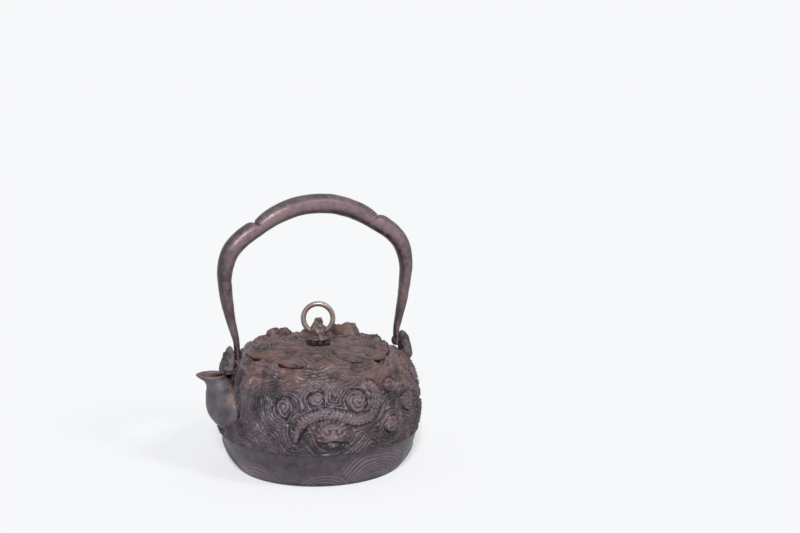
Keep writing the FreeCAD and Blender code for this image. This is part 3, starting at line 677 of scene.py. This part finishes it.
def collar(angle, radius, points):
    """A rocky ledge on the shoulder that closes up to the lid's rim, apart from the lobes and the lugs."""
    gap = radius - lid_rim(angle)
    open_share = np.zeros(angle.shape)
    for degrees, half in LEDGE_GAPS:
        turn = np.abs(turn_from(angle, degrees))
        open_share = np.maximum(open_share, smooth(math.radians(half * 1.35), math.radians(half * 0.9), turn))
    rise = smooth(0.45, 0.9, gap) * smooth(9.5, 1.5, gap)
    return rise * (1 - open_share) * (3.5 + 0.9 * rough(points, 8.0, 47, 3))


def leg_ceiling(points):
    """The greatest height that leaves the handle's legs free to swing down to either side."""
    out = np.abs(points[..., 0])
    side = np.abs(points[..., 1])
    roof = LEG_ROOF - LEG_ROOF_FALL * side
    return roof + 1.2 * np.clip(LEG_INSIDE - out, 0, None) + 0.8 * np.clip(side - LEG_ROOF_END, 0, None)


def band_relief(angle, height, radius, points):
    """Shallow raised arcs on the plain band."""
    arcs = np.zeros(angle.shape)
    drift = 2.2 * rough(points, 24.0, 60, 2)
    for degrees, middle, outer, inner in ARCS:
        across, rise = field_distance(angle, height, radius, (degrees, middle))
        reach = np.hypot(across, rise) + drift
        inside = smooth(outer, outer - ARC_FADE, reach) * smooth(inner - ARC_FADE, inner, reach)
        arcs = np.where(inside > 0.02, wave_lines(reach / ARC_PITCH, 1.3) * inside, arcs)
    fade = smooth(24.5, 20.0, height) * smooth(1.0, 4.0, height)
    return arcs * fade * (0.75 + 0.5 * rough(points, 22.0, 66, 2)) + 0.12 * rough(points, 3.2, 63, 3)


def make_body():
    """The cast shell: foot, plain band, carved field, mouth and hollow inside."""
    band = even(catmull(BAND, 20), BAND_RINGS)
    field = even(catmull(FIELD, 20), FIELD_RINGS)
    inside = even(catmull(INNER_WALL, 3), INNER_RINGS)
    plain = spun(np.vstack([FOOT, band, field, LIP, inside, INNER_MIDDLE]), CELLS_ROUND)
    angle = np.arctan2(plain[..., 1], plain[..., 0])
    radius = np.hypot(plain[..., 0], plain[..., 1])
    height = plain[..., 2]
    belt = len(FOOT) + len(band)
    top = belt + len(field)
    in_band = slice(len(FOOT), belt)
    in_field = slice(belt, top)
    raised = np.zeros(angle.shape)
    raised[in_band] = band_relief(angle[in_band], height[in_band], radius[in_band], plain[in_band])
    up = np.repeat(way_along(field)[:, None], CELLS_ROUND, axis=1)
    raised[in_field] = body_relief(angle[in_field], up, radius[in_field], plain[in_field])
    ledge = np.zeros(angle.shape)
    ledge[in_field] = collar(angle[in_field], radius[in_field], plain[in_field])
    grid = plain + grid_normals(plain) * (raised + ledge)[..., None]
    grid[in_field, :, 2] = np.minimum(grid[in_field, :, 2], leg_ceiling(grid[in_field]))
    turn = turn_from(angle)
    tone = np.zeros(grid.shape)
    tone[..., 0] = 0.5 + 0.12 * rough(plain, 30.0, 71, 2)
    # The band is lighter on its raised arcs and darker in a painted contact shadow along its foot.
    tone[in_band, :, 0] += raised[in_band] - 0.16 - 0.3 * smooth(5.0, 1.5, height[in_band])
    # The lightness follows the relief: painted shade in the hollows, and crests paler, partly as wear and
    # partly as painted highlight.
    tone[in_field, :, 0] = 1.05 * np.clip((raised[in_field] + 0.95) / 2.7, 0, 1.2) ** 1.35
    tone[in_field, :, 0] += 0.2 * rough(plain[in_field], 1.6, 75, 2)
    # Painted highlight: the middle of the carving, round the side that faces the camera, is made up to nearly
    # twice as light.
    painted_highlight = bump(turn[in_field] - 0.08, 0.45) * smooth(8.0, 20.0, up) * smooth(58.0, 46.0, up)
    tone[in_field, :, 0] *= 1 + 0.95 * painted_highlight
    shoulder = smooth(66.0, 81.0, height)
    spots = smooth(0.1, 0.7, rough(plain, 17.0, 80, 3)) * smooth(30.0, 40.0, height)
    tone[..., 1] = np.clip(0.95 * shoulder + 0.55 * spots, 0, 1)
    tone[top:, :, 1] = 0.8
    tone[..., 2] = np.clip(smooth(-0.2, 0.8, turn) * smooth(12.0, 40.0, height) * 0.7 + shoulder, 0, 1)
    piece = grid_mesh("body_shell", grid, tone, caps=True)
    hand_in(piece, "kettle", "kettle_body", BODY_IRON)


# Spout

# Middle of the section, height, half depth, half width, and the reach of the beak on its outer side
SPOUT_SECTIONS = [
    (66.0, 33.6, 9.4, 8.0, 0.0),
    (66.0, 35.6, 12.2, 14.0, 0.0),
    (66.0, 38.5, 15.4, 19.8, 0.0),
    (66.0, 43.0, 18.4, 24.4, 0.0),
    (66.0, 48.0, 20.2, 27.6, 0.0),
    (66.0, 53.0, 20.7, 28.6, 0.0),
    (66.8, 58.0, 19.8, 26.2, 0.0),
    (69.0, 63.0, 17.3, 20.6, 0.0),
    (72.4, 67.0, 14.3, 15.2, 0.0),
    (77.4, 70.4, 11.0, 11.2, 0.3),
    (81.6, 73.2, 10.3, 10.3, 0.8),
    (82.6, 74.6, 10.6, 10.7, 1.1),
]
SPOUT_WALL = 2.3
# The rim over the last section: how far up and how far in
SPOUT_RIM = [(0.8, 0.25), (1.15, 1.1), (0.7, SPOUT_WALL - 0.4)]
# Rings of the outside, counted from the rim down, that the hollow repeats
SPOUT_HOLLOW = slice(4, 62, 3)
# How far the outside sinks into the body's wall, and how far the hollow stays off it
SPOUT_SUNK = 1.6
SPOUT_CLEAR = 1.0


def wall_radius(height):
    """The plain wall's radius at a height between the belt and the brow."""
    line = catmull(FIELD[:6], 12)
    return np.interp(height, line[:, 1], line[:, 0])


def make_spout():
    """The jug-shaped spout against the wall, with its hollow."""
    turn = circle(120)
    outside = catmull(SPOUT_SECTIONS, 8)
    rim = [outside[-1] + [0, rise, -inset, -inset, 0] for rise, inset in SPOUT_RIM]
    hollow = outside[::-1][SPOUT_HOLLOW].copy()
    hollow[:, 2:4] -= SPOUT_WALL
    rows = np.vstack([outside, rim, hollow])
    middle, height, depth, width, reach = rows.T[..., None]
    beak = np.clip(np.cos(turn), 0, 1) ** 1.8
    x = -(middle + depth * np.cos(turn) + reach * beak)
    y = -width * np.sin(turn)
    z = height + 0.35 * reach * beak - 0.25 * reach * (1 - beak)
    grid = np.stack([x, y, z], axis=-1)
    raised = 0.2 * rough(grid, 5.0, 90, 4) + 0.22 * rough(grid, 22.0, 93, 2)
    raised[len(outside) :] *= 0.4
    grid = grid + grid_normals(grid) * raised[..., None]
    from_axis = np.hypot(grid[..., 0], grid[..., 1])
    seat = np.full((len(rows), 1), -SPOUT_SUNK)
    seat[len(outside) :] = SPOUT_CLEAR
    kept = wall_radius(grid[..., 2]) + seat
    grid[..., :2] *= np.maximum(1.0, kept / np.maximum(from_axis, 1.0))[..., None]
    tone = np.zeros(grid.shape)
    tone[..., 0] = 0.5 + 0.5 * raised + 0.4 * rough(grid, 12.0, 95, 4)
    stain = smooth(8.5, 3.0, from_axis - kept + 2.4 * rough(grid, 6.0, 97, 2))
    stain = stain * smooth(36.0, 46.0, grid[..., 2])
    tone[..., 1] = 0.95 * stain
    tone[..., 2] = 0.6 * stain
    tone[len(outside) :, :, 1] = 1.0
    piece = grid_mesh("spout_jug", grid, tone, caps=True)
    hand_in(piece, "kettle", "spout", SPOUT_IRON)


# Lugs

# Distance of the section's middle from the axis, height, half depth, half width
LUG_NEAR = [
    (71.2, 76.4, 5.0, 10.0),
    (70.9, 80.0, 5.0, 10.3),
    (70.3, 84.6, 4.3, 8.2),
    (69.6, 89.4, 3.4, 5.6),
    (68.8, 93.0, 2.1, 3.0),
    (68.3, 94.9, 0.7, 0.9),
]
LUG_FAR = [
    (69.8, 70.5, 0.8, 3.0),
    (70.3, 73.0, 2.9, 6.6),
    (70.7, 76.4, 4.3, 8.8),
    (70.4, 81.0, 4.4, 9.0),
    (69.8, 87.0, 3.7, 8.0),
    (69.1, 91.6, 2.9, 5.8),
    (68.6, 94.0, 1.8, 3.4),
    (68.4, 94.9, 0.7, 1.2),
]
# The face towards the handle, and the flat round the rivet on the other side
LUG_INNER_FACE = 66.02
RIVET_HEIGHT = 88.0
RIVET_FLAT_RADIUS = 3.9
RIVET_FLAT_FACE = 72.5


def blunted(wave, power):
    """A wave from -1 to 1 with fuller crests, for sections between an ellipse and a box."""
    return np.sign(wave) * np.abs(wave) ** power


def make_lug(side, name, node, sections, seed):
    """A rough cast tab on the shoulder, with a flat for the rivet. The side is -1 or 1 along X."""
    turn = circle(96)
    middle, height, depth, width = catmull(sections, 11).T[..., None]
    x = middle + depth * blunted(np.cos(turn), 0.8)
    y = width * blunted(np.sin(turn), 0.9)
    grid = np.stack([x, y, np.broadcast_to(height, x.shape)], axis=-1)
    facets = 0.6 - 1.7 * np.abs(rough(grid, 9.0, seed, 1))
    chips = rough(grid, 2.6, seed + 3, 3)
    grid = grid + grid_normals(grid) * (0.5 * facets + 0.36 * chips)[..., None]
    in_flat = np.hypot(grid[..., 1], grid[..., 2] - RIVET_HEIGHT) < RIVET_FLAT_RADIUS
    grid[..., 0] = np.where(in_flat, np.minimum(grid[..., 0], RIVET_FLAT_FACE), grid[..., 0])
    grid[..., 0] = np.maximum(grid[..., 0], LUG_INNER_FACE)
    tone = np.zeros(grid.shape)
    tone[..., 0] = 0.5 + 0.2 * facets + 0.5 * chips
    tone[..., 1] = 0.35 * smooth(0.0, 0.6, rough(grid, 9.0, seed + 5, 2))
    if side < 0:
        grid = grid[:, ::-1] * [-1, 1, 1]
        tone = tone[:, ::-1]
    piece = grid_mesh(name, grid, tone, caps=True)
    hand_in(piece, "kettle", node, LUG_IRON)


# Handle

# Outer and inner edge of one half in the XZ plane, and half width across it
LEG_EDGES = [
    (65.4, 84.6, 61.2, 84.6, 3.2),
    (65.4, 90.0, 61.1, 90.0, 3.5),
    (65.8, 97.0, 61.2, 97.0, 3.5),
    (67.8, 104.0, 62.1, 104.5, 3.7),
    (72.4, 120.0, 64.7, 121.5, 4.5),
    (75.4, 136.0, 66.0, 138.0, 5.2),
    (76.5, 148.0, 65.9, 147.5, 5.8),
    (74.9, 161.0, 62.6, 158.5, 6.5),
    (69.9, 171.8, 57.0, 166.2, 7.2),
    (62.0, 180.0, 49.0, 172.4, 7.4),
    (53.5, 185.6, 42.4, 176.4, 7.0),
    (48.3, 186.6, 38.6, 178.9, 6.6),
]
ARCH_EDGES = [
    (48.3, 186.6, 38.6, 178.9, 6.6),
    (45.4, 189.6, 36.0, 180.4, 7.0),
    (38.0, 194.7, 29.8, 183.7, 7.5),
    (27.0, 200.0, 21.0, 187.0, 7.8),
    (14.0, 203.6, 11.0, 189.4, 7.9),
    (0.0, 204.7, 0.0, 190.1, 7.9),
]
# Signs that turn the edges of one half into those of the other
MIRRORED = np.array([-1, 1, -1, 1, 1])


def make_handle():
    """The bail handle: two tapered legs and a middle arch between two small cusps."""
    turn = circle(64)
    leg = catmull(LEG_EDGES, 10)
    half_arch = np.array(ARCH_EDGES)
    arch = catmull(np.vstack([half_arch, half_arch[::-1][1:] * MIRRORED]), 10)
    rows = np.vstack([leg, arch[1:-1], leg[::-1] * MIRRORED])
    outer_x, outer_z, inner_x, inner_z, width = rows.T[..., None]
    x = (outer_x + inner_x) / 2 + (outer_x - inner_x) / 2 * np.cos(turn)
    z = (outer_z + inner_z) / 2 + (outer_z - inner_z) / 2 * np.cos(turn)
    grid = np.stack([x, width * np.sin(turn), z], axis=-1)
    order = np.arange(len(rows))
    from_cusp = np.minimum(np.abs(order - (len(leg) - 1)), np.abs(order - (len(rows) - len(leg))))
    crease = bump(from_cusp[:, None], 1.6) * smooth(-0.5, 0.7, np.cos(turn))
    raised = 0.12 * rough(grid, 6.0, 110, 3) + 0.2 * rough(grid, 26.0, 115, 2) - 0.7 * crease
    raised *= smooth(92.0, 98.0, z)
    grid = grid + grid_normals(grid) * raised[..., None]
    height = grid[..., 2]
    tone = np.zeros(grid.shape)
    # Painted highlight and shade: the tube's front and back faces are lighter and its upper and lower edges
    # darker, with more painted highlight near the top of the arch; the legs also darken towards the bottom.
    painted_highlight = np.abs(np.sin(turn)) ** 2
    tone[..., 0] = -0.12 + 0.64 * painted_highlight + 0.2 * rough(grid, 16.0, 120, 3)
    tone[..., 0] += 0.26 * rough(grid, 2.6, 122, 2) - 0.5 * crease
    tone[..., 0] += 0.5 * smooth(150.0, 182.0, height) * painted_highlight - 0.16 * smooth(140.0, 100.0, height)
    tone[..., 1] = 0.6 * smooth(0.2, 0.8, rough(grid, 20.0, 125, 3))
    piece = grid_mesh("handle_arch", grid, tone, caps=True)
    hand_in(piece, "handle", "bail_handle", HANDLE_IRON)


# Lid

# Lobes of the rim: degrees round from the front, how far they stand out, half length in degrees
LOBES = [
    (-18, 4.2, 9),
    (61, 3.8, 9),
    (-72, 2.6, 11),
    (22, -1.2, 18),
    (112, 2.0, 12),
    (150, 2.4, 16),
    (180, 1.0, 10),
    (215, 2.6, 14),
    (250, 2.0, 10),
]
# Crags: degrees, distance from the middle, height, half length round, half length outwards
CRAGS = [
    (-133, 46.5, 6.4, 14, 8),
    (158, 45, 7.4, 14, 9),
    (-108, 48, 3.4, 11, 7),
    (118, 47, 3.2, 10, 6),
    (-170, 49, 3.0, 9, 5),
    (-86, 47, 2.0, 8, 6),
    (84, 48, 1.8, 9, 6),
    (-40, 30, 1.3, 13, 4.5),
    (20, 34, 1.3, 14, 4.5),
    (75, 30, 1.3, 12, 5),
    (125, 30, 1.4, 13, 5),
    (-95, 31, 1.3, 12, 5),
    (-145, 28, 1.4, 12, 5),
    (178, 32, 1.4, 12, 5),
]
# Crags above this height have streaks round them, out to this distance
ISLAND_HEIGHT = 1.5
ISLAND_REACH = 8
ISLAND_PITCH = 2.9
STREAK_PITCH = 3.6
# Rim, crown and underside, in millimetres from the middle or up
RIM_RADIUS = 52.6
RIM_NOISE_RADIUS = 50
CROWN_HEIGHT = 91.0
LOWEST_TOP = 86.6
UNDERSIDE = 85.35
# The rim's face: how far out, and what share of the way down to its lower edge
RIM_FACE = [(0.25, 0.35), (0.05, 0.7)]
# The underside, from the rim over the lip to the middle: radius, height
LID_UNDER = [
    (48.0, UNDERSIDE),
    (42.6, UNDERSIDE),
    (41.5, 85.0),
    (41.5, 77.6),
    (41.2, 77.3),
    (39.4, 77.3),
    (39.1, 77.6),
    (39.1, 84.6),
    (30.0, 85.9),
    (18.0, 87.0),
    (8.0, 87.5),
]


def rim_rough(angle, size, seed, octaves):
    """Noise round the lid's rim."""
    ring = [RIM_NOISE_RADIUS * np.cos(angle), RIM_NOISE_RADIUS * np.sin(angle), 0 * angle]
    return rough(np.stack(ring, axis=-1), size, seed, octaves)


def lid_rim(angle):
    """The ragged rim's distance from the middle."""
    edge = np.full(angle.shape, RIM_RADIUS)
    for degrees, out, half in LOBES:
        edge = edge + out * bump(turn_from(angle, degrees), math.radians(half))
    return edge + 1.1 * rim_rough(angle, 9.0, 130, 3)


def lid_crags(flat):
    """Height of the crags on the lid, and the distance from the nearest large one's edge."""
    x, y = flat[..., 0], flat[..., 1]
    crumbly = 0.88 + 0.28 * rough(flat, 7.0, 150, 3)
    islands = np.full(x.shape, 99.0)
    tops = np.zeros(x.shape)
    for degrees, place, high, half_round, half_out in CRAGS:
        turn = FRONT + math.radians(degrees)
        dx = x - place * math.cos(turn)
        dy = y - place * math.sin(turn)
        out = dx * math.cos(turn) + dy * math.sin(turn)
        side = -dx * math.sin(turn) + dy * math.cos(turn)
        gone = np.hypot(out / half_out, side / half_round)
        if high > ISLAND_HEIGHT:
            islands = np.minimum(islands, (gone - 1) * half_out)
        tops = np.maximum(tops, high * np.clip(1.7 * (1 - gone**2), 0, 1) ** 0.8 * crumbly)
    return tops, islands


def make_lid():
    """The craggy slab with its ragged rim, and the lip under it that drops into the mouth."""
    angle = circle(540)
    edge = lid_rim(angle)

    def ring(reach, level):
        return np.stack([reach * np.cos(angle), reach * np.sin(angle), level + 0 * angle], axis=-1)

    share = np.concatenate([np.linspace(0.05, 0.93, 78), np.linspace(0.94, 1.0, 9)])[:, None]
    radius = share * edge
    flat = np.stack([radius * np.cos(angle), radius * np.sin(angle), 0 * radius], axis=-1)
    crown = CROWN_HEIGHT - 3.1 * (radius / 55.0) ** 2.2
    warp = rough(flat, 17.0, 140, 2)
    wide_warp = rough(flat, 30.0, 145, 2)
    depth = flat[..., 0] * math.cos(FRONT) + flat[..., 1] * math.sin(FRONT)
    phase = (depth + 0.16 * radius + 5.5 * warp + 6.0 * wide_warp) / STREAK_PITCH
    tops, islands = lid_crags(flat)
    flow = np.where(islands < ISLAND_REACH, islands / ISLAND_PITCH + 1.2 * warp, phase)
    streaks = wave_lines(flow, 0.75)
    ledges = wave_lines(0.47 * phase + 0.8 * wide_warp, 0.5)
    off_seat = smooth(9.0, 14.0, radius)
    raised = (1.3 * streaks + 0.75 * ledges - 1.0) * off_seat * (0.8 + 0.3 * wide_warp) + tops
    raised += (0.6 + 0.12 * tops) * rough(flat, 5.0, 155, 3) * off_seat
    rim_fall = smooth(0.9, 1.0, radius / edge)
    top = flat.copy()
    top[..., 2] = np.maximum(crown + raised * (1 - 0.35 * rim_fall) - 0.6 * rim_fall**2, LOWEST_TOP)
    rim_top = top[-1, :, 2]
    rim_low = np.maximum(UNDERSIDE, 85.4 + np.clip(0.9 * rim_rough(angle, 14.0, 160, 2), -0.3, 1.2))
    under = [ring(edge + out, rim_top - down * (rim_top - rim_low)) for out, down in RIM_FACE]
    under.append(ring(edge - 0.7, rim_low))
    under += [ring(reach, level) for reach, level in LID_UNDER]
    grid = np.vstack([top, under])
    tone = np.zeros(grid.shape)
    tone[...] = 0.3, 0.8, 0.4
    rows = len(top)
    # The lightness follows the streaks, with painted shade in their troughs and paler ridges.
    tone[:rows, :, 0] = 0.36 + 0.55 * (raised - tops) - 0.02 * tops
    stains = 0.65 * smooth(0.0, 0.6, rough(flat, 16.0, 165, 3))
    tone[:rows, :, 1] = np.clip(0.75 * smooth(0.8, 0.97, share) + stains + 0.12 * tops, 0, 1)
    piece = grid_mesh("lid_slab", grid[::-1], tone[::-1], caps=True)
    hand_in(piece, "lid", "lid", LID_IRON)


# Knob, seat and ring

# The stem through the lid, from its peened end under the washer up to the bud
KNOB_STEM = [(0.5, 84.5), (3.0, 84.9), (3.8, 85.5), (3.8, 85.9), (2.4, 86.1), (2.4, 94.4)]
KNOB_OUTLINE = [
    (7.6, 94.45),
    (8.5, 95.0),
    (8.4, 95.9),
    (7.6, 96.9),
    (6.9, 98.2),
    (6.7, 99.6),
    (6.5, 101.5),
    (5.6, 104.2),
    (4.3, 106.4),
    (3.4, 108.2),
    (2.7, 109.8),
    (1.2, 110.6),
]
SEAT_OUTLINE = [
    (2.6, 91.1),
    (6.0, 91.1),
    (8.6, 91.1),
    (9.6, 91.6),
    (9.7, 92.6),
    (9.0, 93.4),
    (7.0, 94.0),
    (4.5, 94.3),
    (2.6, 94.3),
]
SEAT_UNDERSIDE = 91.5
RING_YAW = math.radians(-20.0)
RING_RADIUS = 11.1
RING_WIRE = 2.05
RING_BORE = 99.4
RING_PLAY = 0.45


def make_knob():
    """The rough bud on its stem, with dents at both ends of the ring's hole."""
    grid = spun(np.vstack([KNOB_STEM, catmull(KNOB_OUTLINE, 6)]), 96)
    rock = rough(grid, 4.6, 170, 3)
    turn = np.arctan2(grid[..., 1], grid[..., 0])
    folds = wave_lines(5 * turn / FULL_TURN + 0.10 * (grid[..., 2] - 95) + 0.3 * rock, 0.7)
    raised = 0.7 * rock + 0.6 * folds - 0.4
    raised[: len(KNOB_STEM)] = 0
    grid = grid + grid_normals(grid) * raised[..., None]
    along = grid[..., 0] * math.cos(RING_YAW) + grid[..., 1] * math.sin(RING_YAW)
    across = -grid[..., 0] * math.sin(RING_YAW) + grid[..., 1] * math.cos(RING_YAW)
    throat = RING_WIRE + RING_PLAY + along**2 / (2 * RING_RADIUS)
    inside = smooth(throat * 1.12, throat * 0.9, np.hypot(across, grid[..., 2] - RING_BORE))
    inside = inside * smooth(2.5, 4.5, np.abs(along))
    dent = along * 0.52 * inside
    grid[..., 0] -= dent * math.cos(RING_YAW)
    grid[..., 1] -= dent * math.sin(RING_YAW)
    tone = np.zeros(grid.shape)
    # The dents round the ring's hole are darkened as painted shade.
    tone[..., 0] = 0.4 + 0.4 * raised - 0.4 * inside
    tone[..., 1] = 0.6 * smooth(0.0, 0.6, rough(grid, 6.0, 175, 2))
    piece = grid_mesh("knob_bud", grid, tone, caps=True)
    hand_in(piece, "lid", "lid_knob", KNOB_IRON)


def make_seat():
    """The flower-shaped collar between the knob and the lid."""
    grid = spun(catmull(SEAT_OUTLINE, 5), 160)
    turn = np.arctan2(grid[..., 1], grid[..., 0])
    petal = np.abs(np.cos(4 * turn + 0.4 + 0.3 * np.sin(3 * turn))) ** 0.7
    edge = smooth(4.0, 10.0, np.hypot(grid[..., 0], grid[..., 1]))
    grid[..., :2] *= (1 - 0.42 * edge * (1 - petal))[..., None]
    grid[..., :2] *= (1 + 0.08 * edge * rough(grid, 3.2, 176, 2))[..., None]
    lift = edge * (1.7 * petal - 0.7 + 0.4 * rough(grid, 3.0, 178, 2))
    grid[..., 2] += np.where(grid[..., 2] > SEAT_UNDERSIDE, lift, 0.0)
    tone = np.zeros(grid.shape)
    tone[..., 0] = 0.1 + 0.5 * petal * edge
    piece = grid_mesh("seat_flower", grid, tone)
    hand_in(piece, "lid", "knob_seat", SEAT_COPPER)


def make_ring():
    """The ring that hangs in the knob, of slightly uneven wire."""
    long_way = circle(160)[:, None]
    short_way = circle(36)
    wire = RING_WIRE - 0.03 - 0.1 * (0.5 + 0.5 * np.cos(3 * long_way + 1.0))
    reach = RING_RADIUS + wire * np.cos(short_way)
    along = reach * np.sin(long_way)
    across = wire * np.sin(short_way)
    x = along * math.cos(RING_YAW) - across * math.sin(RING_YAW)
    y = along * math.sin(RING_YAW) + across * math.cos(RING_YAW)
    z = RING_BORE + RING_RADIUS - reach * np.cos(long_way)
    grid = np.stack([x, y, z], axis=-1)
    tone = np.zeros(grid.shape)
    tone[..., 0] = 0.5 + 0.4 * rough(grid, 5.0, 180, 3)
    piece = grid_mesh("ring_loop", grid, tone, loop=True)
    hand_in(piece, "ring", "lid_ring", RING_BRONZE)


# Stage

BACKDROP = (0.93, 0.939, 0.956, 1)
SKY_COLOUR = (1.0, 1.0, 1.0, 1)
SKY_STRENGTH = 0.13
FLOOR_HALF = 6.0
FLOOR_SURFACE = {"Base Color": (0.78, 0.787, 0.8, 1), "Roughness": 0.9, "Specular IOR Level": 0.0}
FLOOR_GLOW = 1.86
FLOOR_GLOW_SHARE = 0.3

# Suns: name, the direction the light comes from, strength, softness in degrees
SUNS = [
    ("key", (-0.38, -0.95, 0.72), 2.3, 8.0),
    ("fill", (0.37, -0.62, 0.7), 0.62, 12.0),
    ("top", (0.05, 0.2, 1.2), 0.2, 40.0),
]


def seen_rays(tree):
    """1 for the rays that show the background: seen straight, mirrored or through something clear."""
    path = add_node(tree, "LightPath", {})
    straight = add_math(tree, "MAXIMUM", path["Is Camera Ray"], path["Is Glossy Ray"])
    return add_math(tree, "MAXIMUM", straight, path["Is Transmission Ray"])


def make_floor():
    """A wide white floor that shows partly lit and partly as bright as the backdrop."""
    mesh = bpy.data.meshes.new("floor")
    corners = [(x * FLOOR_HALF, y * FLOOR_HALF, 0) for x, y in ((-1, -1), (1, -1), (1, 1), (-1, 1))]
    mesh.from_pydata(corners, [], [(0, 1, 2, 3)])
    floor = new_object("floor", mesh)
    material = bpy.data.materials.new("floor_white")
    material.use_nodes = True
    tree = material.node_tree
    shader = tree.nodes["Principled BSDF"]
    set_inputs(tree, shader, FLOOR_SURFACE)
    glow = add_node(tree, "Emission", {"Color": BACKDROP, "Strength": FLOOR_GLOW})
    share = add_math(tree, "MULTIPLY", seen_rays(tree), FLOOR_GLOW_SHARE)
    blend = add_node(tree, "MixShader", {0: share, 1: shader.outputs[0], 2: glow[0]})
    set_inputs(tree, tree.nodes["Material Output"], {"Surface": blend[0]})
    paint(floor, material)


def make_world():
    """A dim white sky that shows as a bright backdrop."""
    world = bpy.data.worlds.new("studio")
    bpy.context.scene.world = world
    world.use_nodes = True
    tree = world.node_tree
    light = tree.nodes["Background"]
    set_inputs(tree, light, {"Color": SKY_COLOUR, "Strength": SKY_STRENGTH})
    seen = add_node(tree, "Background", {"Color": BACKDROP, "Strength": 1.0})
    blend = add_node(tree, "MixShader", {0: seen_rays(tree), 1: light.outputs[0], 2: seen[0]})
    set_inputs(tree, tree.nodes["World Output"], {"Surface": blend[0]})


def make_lights():
    for name, place, strength, softness in SUNS:
        lamp = bpy.data.lights.new(name, "SUN")
        lamp.energy = strength
        lamp.angle = math.radians(softness)
        sun = new_object(name, lamp)
        sun.rotation_euler = (-Vector(place)).to_track_quat("-Z", "Y").to_euler()


def make_camera():
    data = bpy.data.cameras.new("camera")
    data.sensor_width = SENSOR
    data.lens = LENS
    camera = new_object("camera", data)
    turn = math.radians(HEADING)
    away = Vector((math.sin(turn), math.cos(turn), 0))
    right = Vector((math.cos(turn), -math.sin(turn), 0))
    camera.location = right * CAMERA_RIGHT - away * CAMERA_BACK + Vector((0, 0, CAMERA_UP))
    camera.rotation_euler = (math.radians(90.0 - PITCH), 0, -turn)
    bpy.context.scene.camera = camera


def main():
    make_body()
    make_spout()
    make_lug(-1, "lug_rock_near", "lug_spout_side", LUG_NEAR, 100)
    make_lug(1, "lug_rock_far", "lug_far_side", LUG_FAR, 104)
    make_handle()
    make_lid()
    make_knob()
    make_seat()
    make_ring()
    for node in ("handle_rivet_spout_side", "handle_rivet_far_side"):
        paint(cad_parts[node], RIVET_IRON)
    paint(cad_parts["knob_washer"], SEAT_COPPER)
    make_floor()
    make_world()
    make_lights()
    make_camera()
    bpy.context.scene.view_settings.view_transform = "Standard"


main()
